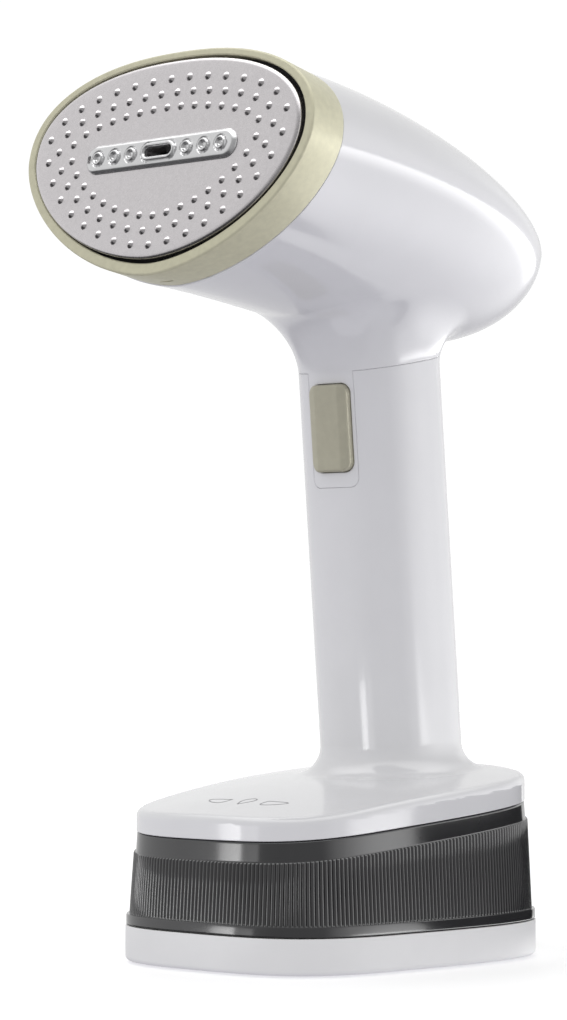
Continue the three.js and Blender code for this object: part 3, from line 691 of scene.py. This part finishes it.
def refine(obj, seam, reach):
    """Splits the edges of the outer surface that lie within reach of a seam."""
    bm = bmesh.new()
    bm.from_mesh(obj.data)
    bmesh.ops.triangulate(bm, faces=bm.faces)
    points = np.array([v.co for v in bm.verts]) / MM
    near = (np.abs(housing_field(points)[0]) < ON_SURFACE) & (seam(points) < reach)
    picked = [e for e in bm.edges if near[e.verts[0].index] and near[e.verts[1].index]]
    picked = [e for e in picked if e.calc_length() > 0.35 * MM]
    bmesh.ops.subdivide_edges(bm, edges=picked, cuts=1)
    bmesh.ops.triangulate(bm, faces=bm.faces)
    bm.to_mesh(obj.data)
    bm.free()


def softened(obj, *seams):
    """Rounds the outer edge of every cut and gives the outer surface the field's own normals."""

    def seam(points):
        return np.minimum.reduce([s(points) for s in seams])

    for reach in (1.3, 0.7):
        refine(obj, seam, reach)
    points = coordinates(obj.data)
    distance, normal = housing_field(points)
    outer = np.abs(distance) < ON_SURFACE
    points[outer] -= (normal * distance[:, None])[outer]
    away = np.clip(seam(points), 0, EDGE)
    drop = EDGE - np.sqrt(EDGE ** 2 - (EDGE - away) ** 2)
    points[outer] -= (normal * drop[:, None])[outer]
    set_coordinates(obj.data, points)
    shade(obj, 40)
    normal[~(outer & (away >= EDGE))] = 0
    obj.data.normals_split_custom_set_from_vertices(normal.tolist())


def housing_pieces():
    """The head moulding with its front panel, and the handle moulding with the skirt."""
    grip = hollowed(smooth_housing())
    head = copied(grip, "head_moulding")
    boolean(head, region_tool(0), "INTERSECT")
    hole = rounded_rectangle(
        BUTTON["width"] + 2 * SEAM_GAP, BUTTON["height"] + 2 * SEAM_GAP, BUTTON["radius"] + SEAM_GAP
    )
    opened(head, block(HEAD_START, BIG, head_point), prism(hole, -8, 9, lambda v: button_point(along_y(v))))
    grip.name = "handle_moulding"
    latch = rounded_rectangle(LATCH["width"] + 2 * SEAM_GAP, LATCH["height"] + 2 * SEAM_GAP, LATCH["radius"])
    cord_y = grip_axis(CORD["z"]) + GRIP["half_y"]
    opened(
        grip,
        region_tool(SPLIT_GAP),
        block(-BIG, GAP / 2, lifted(seam_line)),
        prism(latch + [0, LATCH["z"]], LATCH["y"] - 7, LATCH["y"] + 7, along_y),
        prism(circle(CORD["hole"], 64) + [0, CORD["z"]], cord_y - 8, cord_y + 8, along_y),
    )
    softened(head, head_region, button_hole, head_end)
    softened(grip, lambda p: -head_region(p) - SPLIT_GAP, skirt_end, latch_hole, cord_hole)
    piece(head, "body", "gloss_white_plastic", "head_shell", angle=None)
    piece(grip, "body", "gloss_white_plastic", "grip_shell", angle=None)


# ---------------------------------------------------------------- materials
class Graph:
    """Adds shader nodes to a tree and joins them."""

    def __init__(self, tree):
        self.tree = tree

    def fill(self, inputs, values):
        """Gives each input its value, or joins it to the socket given for it."""
        for key, value in values.items():
            if isinstance(value, bpy.types.NodeSocket):
                self.tree.links.new(value, inputs[key])
            else:
                inputs[key].default_value = value

    def add(self, kind, inputs, output=0, **settings):
        """One output of a new node with these settings and inputs."""
        node = self.tree.nodes.new("ShaderNode" + kind)
        for key, value in settings.items():
            setattr(node, key, value)
        self.fill(node.inputs, inputs)
        return node.outputs[output]

    def ranged(self, value, start, stop, low=0.0, high=1.0, **settings):
        inputs = {"Value": value, "From Min": start, "From Max": stop, "To Min": low, "To Max": high}
        return self.add("MapRange", inputs, "Result", **settings)

    def blended(self, factor, first, second):
        return self.add("Mix", {"Factor": factor, 6: (*first, 1), 7: (*second, 1)}, 2, data_type="RGBA")


def shaded(colour, amount):
    return tuple(min(1.0, channel * amount) for channel in colour)


def surface(name, colour, roughness, metallic=0.0, *, mottle, grain, mottle_scale=60, grain_scale=2500,
            wave=0.0, wave_scale=120, roughness_spread=0.04, stretch=(1, 1, 1), coat=0.0, specular=0.5):
    """Moulded or finished material: mottled colour, uneven gloss, fine grain and a slow waviness."""
    material = bpy.data.materials.new(name)
    material.use_nodes = True
    graph = Graph(material.node_tree)
    place = graph.add("TexCoord", {}, "Object")

    def noise(scale, detail, stretch=(1, 1, 1)):
        vector = graph.add("Mapping", {"Vector": place, "Scale": stretch})
        return graph.add("TexNoise", {"Vector": vector, "Scale": scale, "Detail": detail}, "Fac")

    def bump(height, distance, **inputs):
        return graph.add("Bump", {"Height": height, "Distance": distance, "Strength": 1.0, **inputs})

    patches = graph.ranged(noise(mottle_scale, 4.0, stretch), 0.3, 0.7)
    speck = noise(grain_scale, 2.0, stretch)
    normal = bump(speck, grain)
    if wave:
        normal = bump(noise(wave_scale, 1.0), wave, Normal=normal)
    rough, smooth = roughness + roughness_spread, roughness - roughness_spread
    graph.fill(material.node_tree.nodes["Principled BSDF"].inputs, {
        "Base Color": graph.blended(patches, shaded(colour, 1 - mottle), shaded(colour, 1 + mottle)),
        "Roughness": graph.ranged(speck, 0.3, 0.7, smooth, rough),
        "Normal": normal,
        "Metallic": metallic,
        "Coat Weight": coat,
        "Coat Roughness": 0.05,
        "Specular IOR Level": specular,
    })
    return material


MATERIALS = dict(  # by material slot
    gloss_white_plastic=surface(
        "white_gloss", (0.78, 0.78, 0.795), 0.13, mottle=0.012, grain=0.0000006, wave=0.00001, wave_scale=45,
        roughness_spread=0.03, coat=0.2,
    ),
    satin_white_plastic=surface(
        "white_satin", (0.84, 0.84, 0.84), 0.45, mottle=0.015, grain=0.000006, grain_scale=3500,
        specular=0.25,
    ),
    smoke_plastic=surface(
        "smoke_gloss", (0.032, 0.032, 0.034), 0.13, mottle=0.12, grain=0.0000008, wave=0.000004,
        roughness_spread=0.03, specular=0.9,
    ),
    champagne_finish=surface(
        "champagne_satin", (0.62, 0.6, 0.44), 0.42, 0.18, mottle=0.05, mottle_scale=500, grain=0.000008,
        grain_scale=4200, roughness_spread=0.05, specular=0.3,
    ),
    champagne_plastic=surface(
        "champagne_plastic", (0.51, 0.49, 0.38), 0.42, 0.25, mottle=0.04, mottle_scale=350, grain=0.000006,
        grain_scale=3800, roughness_spread=0.05,
    ),
    satin_steel=surface(
        "blasted_steel", (0.66, 0.635, 0.645), 0.27, 0.9, mottle=0.04, mottle_scale=900, grain=0.000007,
        grain_scale=5200, roughness_spread=0.07,
    ),
    bright_metal=surface(
        "bright_metal", (0.72, 0.72, 0.725), 0.22, 0.8, mottle=0.03, grain=0.000003, grain_scale=5200,
    ),
    cast_aluminium=surface(
        "cast_aluminium", (0.42, 0.43, 0.44), 0.5, 0.9, mottle=0.12, mottle_scale=260, grain=0.00003,
        grain_scale=1300, roughness_spread=0.1,
    ),
    black_rubber=surface(
        "black_rubber", (0.018, 0.018, 0.019), 0.72, mottle=0.2, grain=0.00001, grain_scale=2600,
    ),
    silicone=surface("silicone", (0.72, 0.69, 0.64), 0.48, mottle=0.05, grain=0.000006),
    black_plastic=surface(
        "black_plastic", (0.022, 0.023, 0.025), 0.45, mottle=0.15, grain=0.00001, grain_scale=3000,
    ),
    circuit_board=surface(
        "circuit_board", (0.02, 0.13, 0.06), 0.4, mottle=0.35, mottle_scale=420, grain=0.00002,
        grain_scale=900,
    ),
    copper_winding=surface(
        "copper_winding", (0.55, 0.24, 0.10), 0.35, 0.9, mottle=0.25, mottle_scale=300, grain=0.00008,
        grain_scale=400, stretch=(0.05, 0.05, 3),
    ),
)
INK = surface("grey_ink", (0.20, 0.20, 0.21), 0.5, mottle=0.1, grain=0.000004)


def finish_cad_nodes():
    """Every CAD node that still shows gets the material of its own slot."""
    slots = {part["node"]: part["material_slot"] for part in frame["record"]["subparts"]}
    for name, node in frame["nodes"].items():
        node.data.materials.clear()
        node.data.materials.append(MATERIALS[slots[name]])


# ---------------------------------------------------------------- soleplate
def filled(outline, inner, height):
    """Triangles over a plan outline and the points inside it, raised by a height function."""
    points = [Vector(p) for p in np.vstack([outline, inner])]
    count = len(outline)
    edges = [(i, (i + 1) % count) for i in range(count)]
    verts, _, faces, _, _, _ = delaunay_2d_cdt(points, edges, [], 1, 1e-5)
    plan = np.array([list(v) for v in verts])
    return np.column_stack([plan, height(plan)]), faces


def raised(outline, inner, height, lower_rings):
    """Closed solid: a filled top over an outline, and below its edge the given rings, lowest first."""
    rim = np.column_stack([outline, height(outline)])
    side, side_faces = loft([*lower_rings, rim])
    return joined([filled(outline, inner, height), (side, side_faces[:-1])])


def dimple_centres():
    """Three egg-shaped rows of evenly spaced dimples round the soleplate; the middle row is staggered."""
    share, centres = 40, []
    for *row, stagger in DIMPLE_ROWS:
        fine = egg(*row, DIMPLE["per_row"] * share)
        start = int(np.argmax(fine[:, 1])) + int(share * stagger)
        centres.append(np.roll(fine, -start, axis=0)[::share])
    return np.vstack(centres)


def dimple_height(plan):
    height = np.zeros(len(plan))
    for centre in dimple_centres():
        r = np.linalg.norm(plan - centre, axis=1) / DIMPLE["radius"]
        height += np.where(r < 1, DIMPLE["height"] * np.cos(np.minimum(r, 1) * math.pi / 2), 0)
    return height


def soleplate():
    """Flat plate with a rounded rim, raised dimples and the opening under the steam slot."""
    rim = PLATE["rim"]
    edge = head_ring(PLATE, rim, 0)[:, :2]
    grid = []
    for centre in dimple_centres():
        grid.append(centre[None])
        for share, count in ((0.25, 8), (0.45, 12), (0.65, 16), (0.82, 20), (0.93, 20), (1.0, 20)):
            grid.append(centre + circle(share * DIMPLE["radius"], count))
    rings = [head_ring(PLATE, 0.9, PLATE["back"]), head_ring(PLATE, 0.3, SOLE_FACE - 1.8)]
    rings += [
        head_ring(PLATE, rim * (1 - math.cos(a)), SOLE_FACE - 0.9 * (1 - math.sin(a)))
        for a in quarter_turn(6)[:-1]
    ]
    verts, faces = raised(edge, np.vstack(grid), lambda p: SOLE_FACE + dimple_height(p), rings)
    plate = make_mesh("steam_plate", head_point(verts), faces)
    half, high = NOZZLE["slot_half"] + GAP, NOZZLE["slot_high"] + GAP
    slot = rounded_rectangle(2 * half, 2 * high, NOZZLE["slot_high"])
    boolean(plate, prism(slot, PLATE["back"] - 2, 3, head_point))
    piece(plate, "body", "satin_steel", "soleplate", angle=30)


def crest(distance, width):
    """Round-topped ridge of height 1 that is soft at both sides."""
    return np.exp(-((distance / width) ** 4))


def nozzle_height(plan):
    """Raised bar with round shoulders, a lip round the slot and a stepped ring at each nozzle."""
    x, y = plan.T
    edge = -rounded_box_distance(x, y, NOZZLE["half"], NOZZLE["width"], NOZZLE["radius"])
    rise = np.clip(edge / 1.5, 0, 1)
    height = NOZZLE["height"] * np.sin(rise * math.pi / 2) ** 0.8
    lip = rounded_box_distance(x, y, NOZZLE["slot_half"], NOZZLE["slot_high"], NOZZLE["slot_radius"])
    for rise, distance, width in SLOT_RIDGES:
        height += rise * crest(lip - distance, width)
    for centre in [side * (NOZZLE["first"] + k * NOZZLE["pitch"]) for side in (-1, 1) for k in range(3)]:
        for rise, radius, width in NOZZLE_RIDGES:
            height += rise * crest(np.hypot(x - centre, y) - radius, width)
    return height


def nozzle_bar():
    """Bright bar across the plate, with the steam slot, six nozzles and a small vent."""
    half, width, radius, spacing = NOZZLE["half"], NOZZLE["width"], NOZZLE["radius"], 0.22
    outline = even(rounded_rectangle(2 * half, 2 * width, radius, 24, 60), 360)
    across, up = np.arange(-half, half, spacing), np.arange(-width, width, spacing)
    grid = np.array([[x + 0.5 * spacing * (k % 2), y] for k, y in enumerate(up) for x in across])
    inside = rounded_box_distance(*grid.T, half, width, radius) < -0.12
    base = SOLE_FACE + 0.05
    verts, faces = raised(
        outline, grid[inside], lambda p: base + 0.1 + nozzle_height(p), [level(outline, base)]
    )
    bar = make_mesh("nozzle_plate", head_point(verts), faces)
    slot = rounded_rectangle(2 * NOZZLE["slot_half"], 2 * NOZZLE["slot_high"], NOZZLE["slot_radius"])
    vent = rounded_rectangle(1.3, 2.6, 0.6) + [1.9 - half, 0.0]
    opened(bar, prism(slot, -4, 4, head_point), prism(vent, -4, 4, head_point))
    piece(bar, "body", "bright_metal", "nozzle_bar", angle=40)


# ---------------------------------------------------------------- trim ring and gasket
def ring_loft(sections, count):
    """Closed band through egg-shaped rings given as (size, shrink, depth)."""
    return loft([head_ring(size, shrink, depth, count) for size, shrink, depth in sections], closed=True)


def trim_ring():
    """Champagne band round the head, its front rolled in to a narrow face."""
    lip = dict(half=PLATE["half"] + 1.1, top=PLATE["top"] + 1, bottom=PLATE["bottom"] + 1.2)
    tail = dict(half=RING["half"], top=RING["top"] - 0.2, bottom=RING["bottom"] - 0.8)
    front, rear, wall = RING["front"], RING["rear"], RING["wall"]
    roll = quarter_turn(5)
    sections = [(lip, 0, front - 0.35), (lip, -0.35, front)]
    sections += [(RING, 0.8 * (1 - math.sin(a)), front - 0.8 * (1 - math.cos(a))) for a in roll]
    sections += [(tail, 0.3 * (1 - math.cos(a)), rear + 0.3 * (1 - math.sin(a))) for a in roll]
    sections += [(tail, wall, rear), (RING, wall, front - RING["lip"]), (lip, 0, front - RING["lip"])]
    verts, faces = ring_loft(sections, 360)
    ring = make_mesh("champagne_ring", head_point(verts), faces)
    slit = rounded_rectangle(5.4, 0.8, 0.35, 6, 6) + [0, (front + rear) / 2 - 2]
    low = HEAD["widest"] - tail["bottom"]
    boolean(ring, prism(slit, low - 2, low + 1.1, lambda v: head_point(along_y(v))))
    piece(ring, "body", "champagne_finish", "trim_ring", angle=40)


def plate_gasket():
    """Black ring in the gap between the soleplate and the trim ring."""
    shrink, front, rear = RING["wall"] + 0.4, PLATE["back"] - GAP, PLATE["back"] - 1.6
    sections = [
        (PLATE, 1.6, front), (RING, shrink, front), (RING, shrink, rear), (PLATE, 4, rear), (PLATE, 4, front),
    ]
    verts, faces = ring_loft(sections, 240)
    gasket = make_mesh("plate_seal", head_point(verts), faces)
    piece(gasket, "body", "black_rubber", "plate_gasket")


# ---------------------------------------------------------------- printed marks on the skirt
def line_loop(outline):
    """Raised closed line along an outline, lying on the top of the skirt."""
    half, thick = MARKS["line"] / 2, MARKS["thick"]
    rings = []
    for side, lift in ((-half, 0.0), (-half, thick), (half, thick), (half, 0.0)):
        plan = inset(outline, side) + [0, MARKS["y"]]
        rings.append(np.column_stack([plan, shoulder_top(plan) + lift - 0.01]))
    return loft(rings, closed=True)


def droplet(scale):
    angle = np.linspace(0, 2 * math.pi, 48, endpoint=False)
    narrow = np.sin(angle / 2) ** 1.2
    return scale * np.column_stack([np.sin(angle) * -0.55 * narrow, -np.cos(angle) * 0.75])[::-1]


def puff(scale, side):
    """Flattened curl, like a wisp of steam lying on its side; the side is 1, or -1 to mirror it."""
    t = np.linspace(0, 2 * math.pi, 60, endpoint=False)
    x = np.cos(t) + 0.28 * np.cos(2 * t)
    y = 0.62 * np.sin(t) + 0.42 * np.cos(t) ** 2
    return scale * np.column_stack([x * side, y])[::side]


def skirt_marks():
    """Generic water drop with a wisp of steam to each side."""
    loops = [droplet(5.4), *(puff(4.2, side) + [10.6 * side, -0.6] for side in (1, -1))]
    marks = make_mesh("skirt_marks", *joined([line_loop(outline) for outline in loops]))
    piece(marks, "body", "gloss_white_plastic", material=INK)


# ---------------------------------------------------------------- base and tank
def tank():
    """Smoked tank: smooth bands above and below a belt of fine upright ribs."""
    length = np.linalg.norm(np.diff(foot_outline(), axis=0), axis=1).sum()
    count = int(round(length / RIBS["pitch"])) * RIBS["points"]
    outline = foot_outline(count)
    wave = np.abs(np.sin(np.arange(count) * math.pi / RIBS["points"])) ** 0.8
    groove = RIBS["depth"] * (1 - wave)

    def ring(distance, height, lift=0.0, ribbed=0.0):
        """Ring at an inset and a height or sloping line, lifted, with a share of the grooves' depth."""
        return level(inset(outline, np.full(count, distance) + ribbed * groove), height) + [0, 0, lift]

    skin, bottom = CAP["wall"] + GAP, CAP["top"] + GAP
    bore, ledge = TANK["bore"], TANK["ledge"]
    ledge_inset = bore + TANK["ledge_width"]
    rings = [
        ring(skin, TANK["floor_bottom"]), ring(skin, bottom), ring(0.45, bottom), ring(0.2, bottom, 0.25),
        ring(0.2, bottom, 0.45), ring(0.2, BAND_TOP, -0.4), ring(0.4, BAND_TOP), ring(1.2, BAND_TOP, 0.05),
        ring(1.22, BAND_TOP, 0.5, 1.0), ring(1.85, lambda y: (BAND_TOP + rib_line(y)) / 2, 0, 1.0),
        ring(2.5, rib_line, -0.5, 1.0), ring(2.75, rib_line, -0.1, 0.3), ring(3.2, rib_line),
        ring(3.25, rib_line, 0.2), ring(3.27, rib_line, 0.4), ring(3.58, seam_line, -0.7),
        ring(3.6, seam_line, -0.5), ring(3.9, seam_line, -GAP / 2), ring(bore, seam_line, -GAP / 2),
        ring(bore, ledge), ring(ledge_inset, ledge), ring(ledge_inset, ledge, -1.4),
        ring(bore - 0.2, ledge, -3.6), ring(bore - 0.6, TANK["floor_top"]),
    ]
    body = make_mesh("ribbed_tank", *loft(rings))
    piece(body, "tank", "smoke_plastic", "tank_body", angle=50)


def pad_outline(margin):
    half_y = PAD["half_y"] + margin
    return egg(PAD["half_x"] + margin, half_y, half_y, PAD["power"], PAD["power"], 0, 240)


def base_cap():
    """White base with a round lower edge, a recess for the pad and the screw holes."""
    outline = foot_outline()
    edge, bottom, top = CAP["edge"], CAP["bottom"], CAP["top"]
    roll = quarter_turn(6)
    rings = [level(inset(outline, edge * (1 - math.sin(a))), bottom + edge * (1 - math.cos(a))) for a in roll]
    rings += [level(inset(outline, 0.35 * (1 - math.cos(a))), top - 0.35 * (1 - math.sin(a))) for a in roll]
    rings += [level(inset(outline, CAP["wall"]), top), level(inset(outline, CAP["wall"]), CAP["floor"])]
    cap = make_mesh("base_cover", *loft(rings))
    boolean(cap, prism(pad_outline(GAP), bottom - 1, PAD["thick"] + GAP))
    for node in [name for name in frame["nodes"] if name.startswith("base_screw")]:
        low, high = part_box(node)
        middle = ((low + high) / 2 / MM)[:2]
        opened(cap, prism(circle(3.4, 48) + middle, -1, 2.6), prism(circle(1.9, 48) + middle, 2, 5))
    piece(cap, "tank", "satin_white_plastic", "base_cap", angle=40)


def base_pad():
    """Rubber foot with concentric grooves on its underside."""
    rings = [level(pad_outline(0), PAD["thick"]), level(pad_outline(0), 0.3), level(pad_outline(-0.3), 0)]
    for k in range(8):
        start = 2.5 + 3.2 * k
        for width, height in ((0, 0.5), (0.2, 0.0), (2.0, 0.0), (2.2, 0.5)):
            rings.append(level(pad_outline(-start - width), height))
    pad = make_mesh("grip_pad", *loft(rings))
    piece(pad, "tank", "black_rubber", "base_pad", angle=40)


# ---------------------------------------------------------------- buttons and fittings
def steam_button():
    """Long button: flat in the middle, falling away to both sides, with soft corners."""
    width, height, radius = BUTTON["width"], BUTTON["height"], BUTTON["radius"]
    flat, roll = 4.6, 0.7

    def inward(plan):
        return -rounded_box_distance(plan[:, 0], plan[:, 1], width / 2, height / 2, radius)

    def face(plan):
        fall = np.maximum(np.abs(plan[:, 0]) - flat, 0)
        soft = roll - np.sqrt(np.maximum(roll ** 2 - (roll - np.clip(inward(plan), 0, roll)) ** 2, 0))
        return BUTTON["proud"] - soft - 0.32 * (np.hypot(fall, 0.15) - 0.15)

    def shrunk(margin):
        return rounded_rectangle(width - 2 * margin, height - 2 * margin, radius - margin, 12, 24)

    outline = shrunk(0)
    side = np.arange(flat + 0.1, 7, 0.25)
    across = np.concatenate([-side[::-1], np.arange(-flat, flat + 0.01, flat / 4), side])
    grid = np.array([[x, z] for x in across for z in np.arange(-height / 2, height / 2, 0.4)])
    inner = np.vstack([shrunk(margin) for margin in (0.03, 0.1, 0.22, 0.4)] + [grid[inward(grid) > 0.75]])
    flange = rounded_rectangle(width + 2.4, height + 3, radius, 12, 24)
    lower = [level(flange, -4.8), level(flange, -3.8), level(outline, -3.8)]
    verts, faces = raised(outline, inner, face, lower)
    placed = button_point(np.column_stack([verts[:, 0], -verts[:, 2], verts[:, 1]]))
    piece(make_mesh("steam_key", placed, faces), "button", "champagne_plastic", "steam_button")


def release_button():
    """Tank release at the rear of the skirt, with three finger ridges."""
    low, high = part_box("release_button")
    width, height = LATCH["width"], LATCH["height"]
    outline = rounded_rectangle(width, height, 1.0, 6, 12)
    back, front = low[1] / MM, high[1] / MM
    flange = rounded_rectangle(width + 4, height, 0.4, 6, 12)
    rings = [level(flange, back), level(flange, back + 1.5), level(outline, back + 1.5)]
    rings.append(level(outline, front - 0.9))
    rings += [
        level(rounded_rectangle(width - 2 * d, height - 2 * d, 1.0 - d * 0.8, 6, 12), front - h)
        for d, h in ((0.05, 0.55), (0.2, 0.4), (0.45, 0.32))
    ]
    verts, faces = loft(rings)
    verts[:, 1] += LATCH["z"]
    key = make_mesh("release_key", along_y(verts), faces)
    for x in (-3, 0, 3):
        ridge = rounded_rectangle(0.8, height - 2.2, 0.39, 6, 4) + [x, LATCH["z"]]
        boolean(key, prism(ridge, front - 0.6, front - 0.02, along_y), "UNION")
    piece(key, "release", "champagne_plastic", "release_button", angle=40)


def cord_gland():
    """Round cord inlet at the back of the handle, stepped and with soft edges."""
    low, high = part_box("cord_gland")
    centre_z = (low[2] + high[2]) / 2 / MM
    profile = [(2.9, -6), (5, -6), (5, 0.8), (7.2, 0.8), (7.2, 2), (5.6, 3.2), (4.6, 7.5), (2.9, 7.5)]
    verts, faces = turned(rounded_profile(profile, 0.35), 72)
    placed = along_y(verts) + [0, grip_axis(CORD["z"]) + GRIP["half_y"], centre_z]
    gland = make_mesh("cord_inlet", placed, faces)
    piece(gland, "body", "black_plastic", "cord_gland", angle=40)


# ---------------------------------------------------------------- stage, lights and camera
def placed_in_scene(name, data, location, look):
    """A camera or light at a point in metres, looking along a direction."""
    obj = bpy.data.objects.new(name, data)
    bpy.context.scene.collection.objects.link(obj)
    obj.location = location
    obj.rotation_euler = look.to_track_quat("-Z", "Y").to_euler()
    return obj


def direction(azimuth, elevation):
    """Unit vector away from the object: azimuth 0 is the front and 90 the right, in degrees."""
    a, e = math.radians(azimuth), math.radians(elevation)
    return Vector((math.sin(a) * math.cos(e), -math.cos(a) * math.cos(e), math.sin(e)))


def camera():
    """Long-lens camera in front and to the right of the object, looking very slightly up."""
    data = bpy.data.cameras.new("camera")
    data.sensor_width = CAMERA["sensor"]
    data.lens = CAMERA["lens"]
    data.clip_end = 50
    location = (Vector(CAMERA["target"]) + direction(CAMERA["azimuth"], 0) * CAMERA["distance"]) * MM
    look = -direction(CAMERA["azimuth"], -CAMERA["rise"])
    bpy.context.scene.camera = placed_in_scene("camera", data, location, look)


def area_light(name, away, distance, size, power, target=(0, 0, 150)):
    """Rectangular softbox that shines on a target from a direction and a distance."""
    data = bpy.data.lights.new(name, "AREA")
    data.shape = "RECTANGLE"
    data.size, data.size_y = size
    data.energy = power
    obj = placed_in_scene(name, data, Vector(target) * MM + away * distance, -away)
    obj.visible_camera = False
    return obj


def lights():
    """Two broad softboxes, and small low cards that only show as reflections in the tank."""
    area_light("overhead", direction(-60, 72), 1.3, (1.4, 1.4), 1.0)
    area_light("right", direction(118, 8), 1.3, (1.2, 1.5), 1.0)
    for name, start, stop, radiance in CARDS:
        middle = Vector((*start, 0)).lerp(Vector((*stop, 0)), 0.5) * MM
        size = (math.dist(start, stop) * MM, CARD["height"] * MM)
        power = radiance * math.pi * size[0] * size[1]
        card = area_light(name, middle.normalized(), middle.length, size, power, (0, 0, CARD["middle"]))
        card.data.spread = math.radians(CARD["spread"])
        card.visible_diffuse = False


def black_card():
    """Low dark card behind the right side, there only to be reflected in the tank."""
    outline = [
        Vector((*BLACK_CARD["centre"], 0)) + BLACK_CARD["radius"] * direction(azimuth, 0)
        for azimuth in BLACK_CARD["azimuths"]
    ]
    verts = [(point.x, point.y, z) for z in (BLACK_CARD["low"], BLACK_CARD["high"]) for point in outline]
    count = len(outline)
    faces = [(k, k + 1, k + 1 + count, k + count) for k in range(count - 1)]
    card = make_mesh("black_card", verts, faces)
    card.data.materials.append(MATERIALS["black_plastic"])
    card.visible_camera = False
    card.visible_diffuse = False
    card.visible_shadow = False
    card.visible_transmission = False


class Sky(Graph):
    """Soft steps over direction, which add up to the studio's surroundings."""

    def __init__(self, tree):
        super().__init__(tree)
        self.view = self.add("TexCoord", {}, "Generated")

    def along(self, axis):
        return self.add("VectorMath", {0: self.view, 1: axis}, "Value", operation="DOT_PRODUCT")

    def towards(self, azimuth, elevation=0.0):
        """Cosine of the angle from a direction, 1 when looking straight at it."""
        return self.along(direction(azimuth, elevation))

    def step(self, value, start, stop, low=0.0, high=1.0):
        return self.ranged(value, start, stop, low, high, interpolation_type="SMOOTHSTEP")

    def folded(self, operation, *values):
        total = values[0]
        for value in values[1:]:
            total = self.add("Math", {0: total, 1: value}, operation=operation)
        return total

    def product(self, *values):
        return self.folded("MULTIPLY", *values)

    def total(self, *values):
        return self.folded("ADD", *values)

    def background(self, strength, colour=(1, 1, 1, 1)):
        return self.add("Background", {"Color": colour, "Strength": strength})


def world():
    """Studio surroundings: broad soft light, with a bright horizon and softboxes for the gloss to show."""
    scene_world = bpy.data.worlds.new("studio")
    bpy.context.scene.world = scene_world
    scene_world.use_nodes = True
    sky = Sky(scene_world.node_tree)
    height = sky.along((0, 0, 1))
    viewer = sky.towards(CAMERA["azimuth"])
    soft = sky.product(
        sky.step(height, -1, 1, 0.74, 0.84), sky.step(viewer, -1, 1, 0.85, 1.0),
        sky.step(sky.towards(-70), -0.4, 1, 0.97, 1.22),
    )
    surround = sky.product(sky.step(viewer, -0.2, 0.9, 0.95, 0.36), sky.step(height, -0.75, -0.05, 0.55, 1))
    behind = sky.product(
        sky.step(sky.towards(135), 0.35, 0.8, 0, 0.85), sky.step(height, 0.3, 0.65, 1, 0),
        sky.step(height, -1, -0.6),
    )
    horizon = sky.product(
        sky.step(height, -0.34, -0.08), sky.step(height, -0.075, -0.05, 1, 0),
        sky.step(sky.towards(145), 0.62, 0.8, 0, 4.5),
    )
    flag = sky.folded(
        "MAXIMUM", sky.step(sky.towards(-50, -45), 0.5, 0.7, 1, 0.02), sky.step(height, -0.3, -0.12, 0.02, 1)
    )
    ceiling = sky.step(height, 0.6, 0.9, 0, 1.8)
    bounce = sky.total(
        sky.step(sky.towards(135, -20), 0.7, 0.95, 0, 1.0),
        sky.step(sky.towards(170, -32), 0.82, 0.98, 0, 1.2),
    )
    shine = sky.product(sky.total(surround, behind, horizon, ceiling, bounce), flag)
    tint = sky.blended(sky.step(height, -0.6, 0.2), (0.93, 0.92, 1.0), (1, 1, 1))
    lit = sky.background(soft, tint)
    for ray, strength in (("Is Glossy Ray", shine), ("Is Camera Ray", 1.05)):
        inputs = {"Fac": sky.add("LightPath", {}, ray), 1: lit, 2: sky.background(strength)}
        lit = sky.add("MixShader", inputs)
    sky.fill(sky.tree.nodes["World Output"].inputs, {"Surface": lit})


def floor():
    """Plain pale floor, with a faint unevenness so that it isn't one flat colour."""
    outline = circle(4000, 64)
    obj = make_mesh("floor", level(outline, 0), [range(len(outline))])
    pale = surface(
        "pale_floor", (0.93, 0.93, 0.93), 0.6, mottle=0.01, mottle_scale=6, grain=0.00001, specular=0.2
    )
    shader = pale.node_tree.nodes["Principled BSDF"].inputs
    shader["Emission Color"].default_value = (1, 1, 1, 1)
    shader["Emission Strength"].default_value = 0.3
    obj.data.materials.append(pale)
    obj.visible_diffuse = False
    obj.visible_glossy = False


# ---------------------------------------------------------------- the scene
bpy.context.scene.view_settings.view_transform = "Standard"
for build in (
    camera, lights, world, floor, black_card, finish_cad_nodes, housing_pieces, soleplate, nozzle_bar,
    trim_ring, plate_gasket, skirt_marks, tank, base_cap, base_pad, steam_button, release_button, cord_gland,
):
    build()
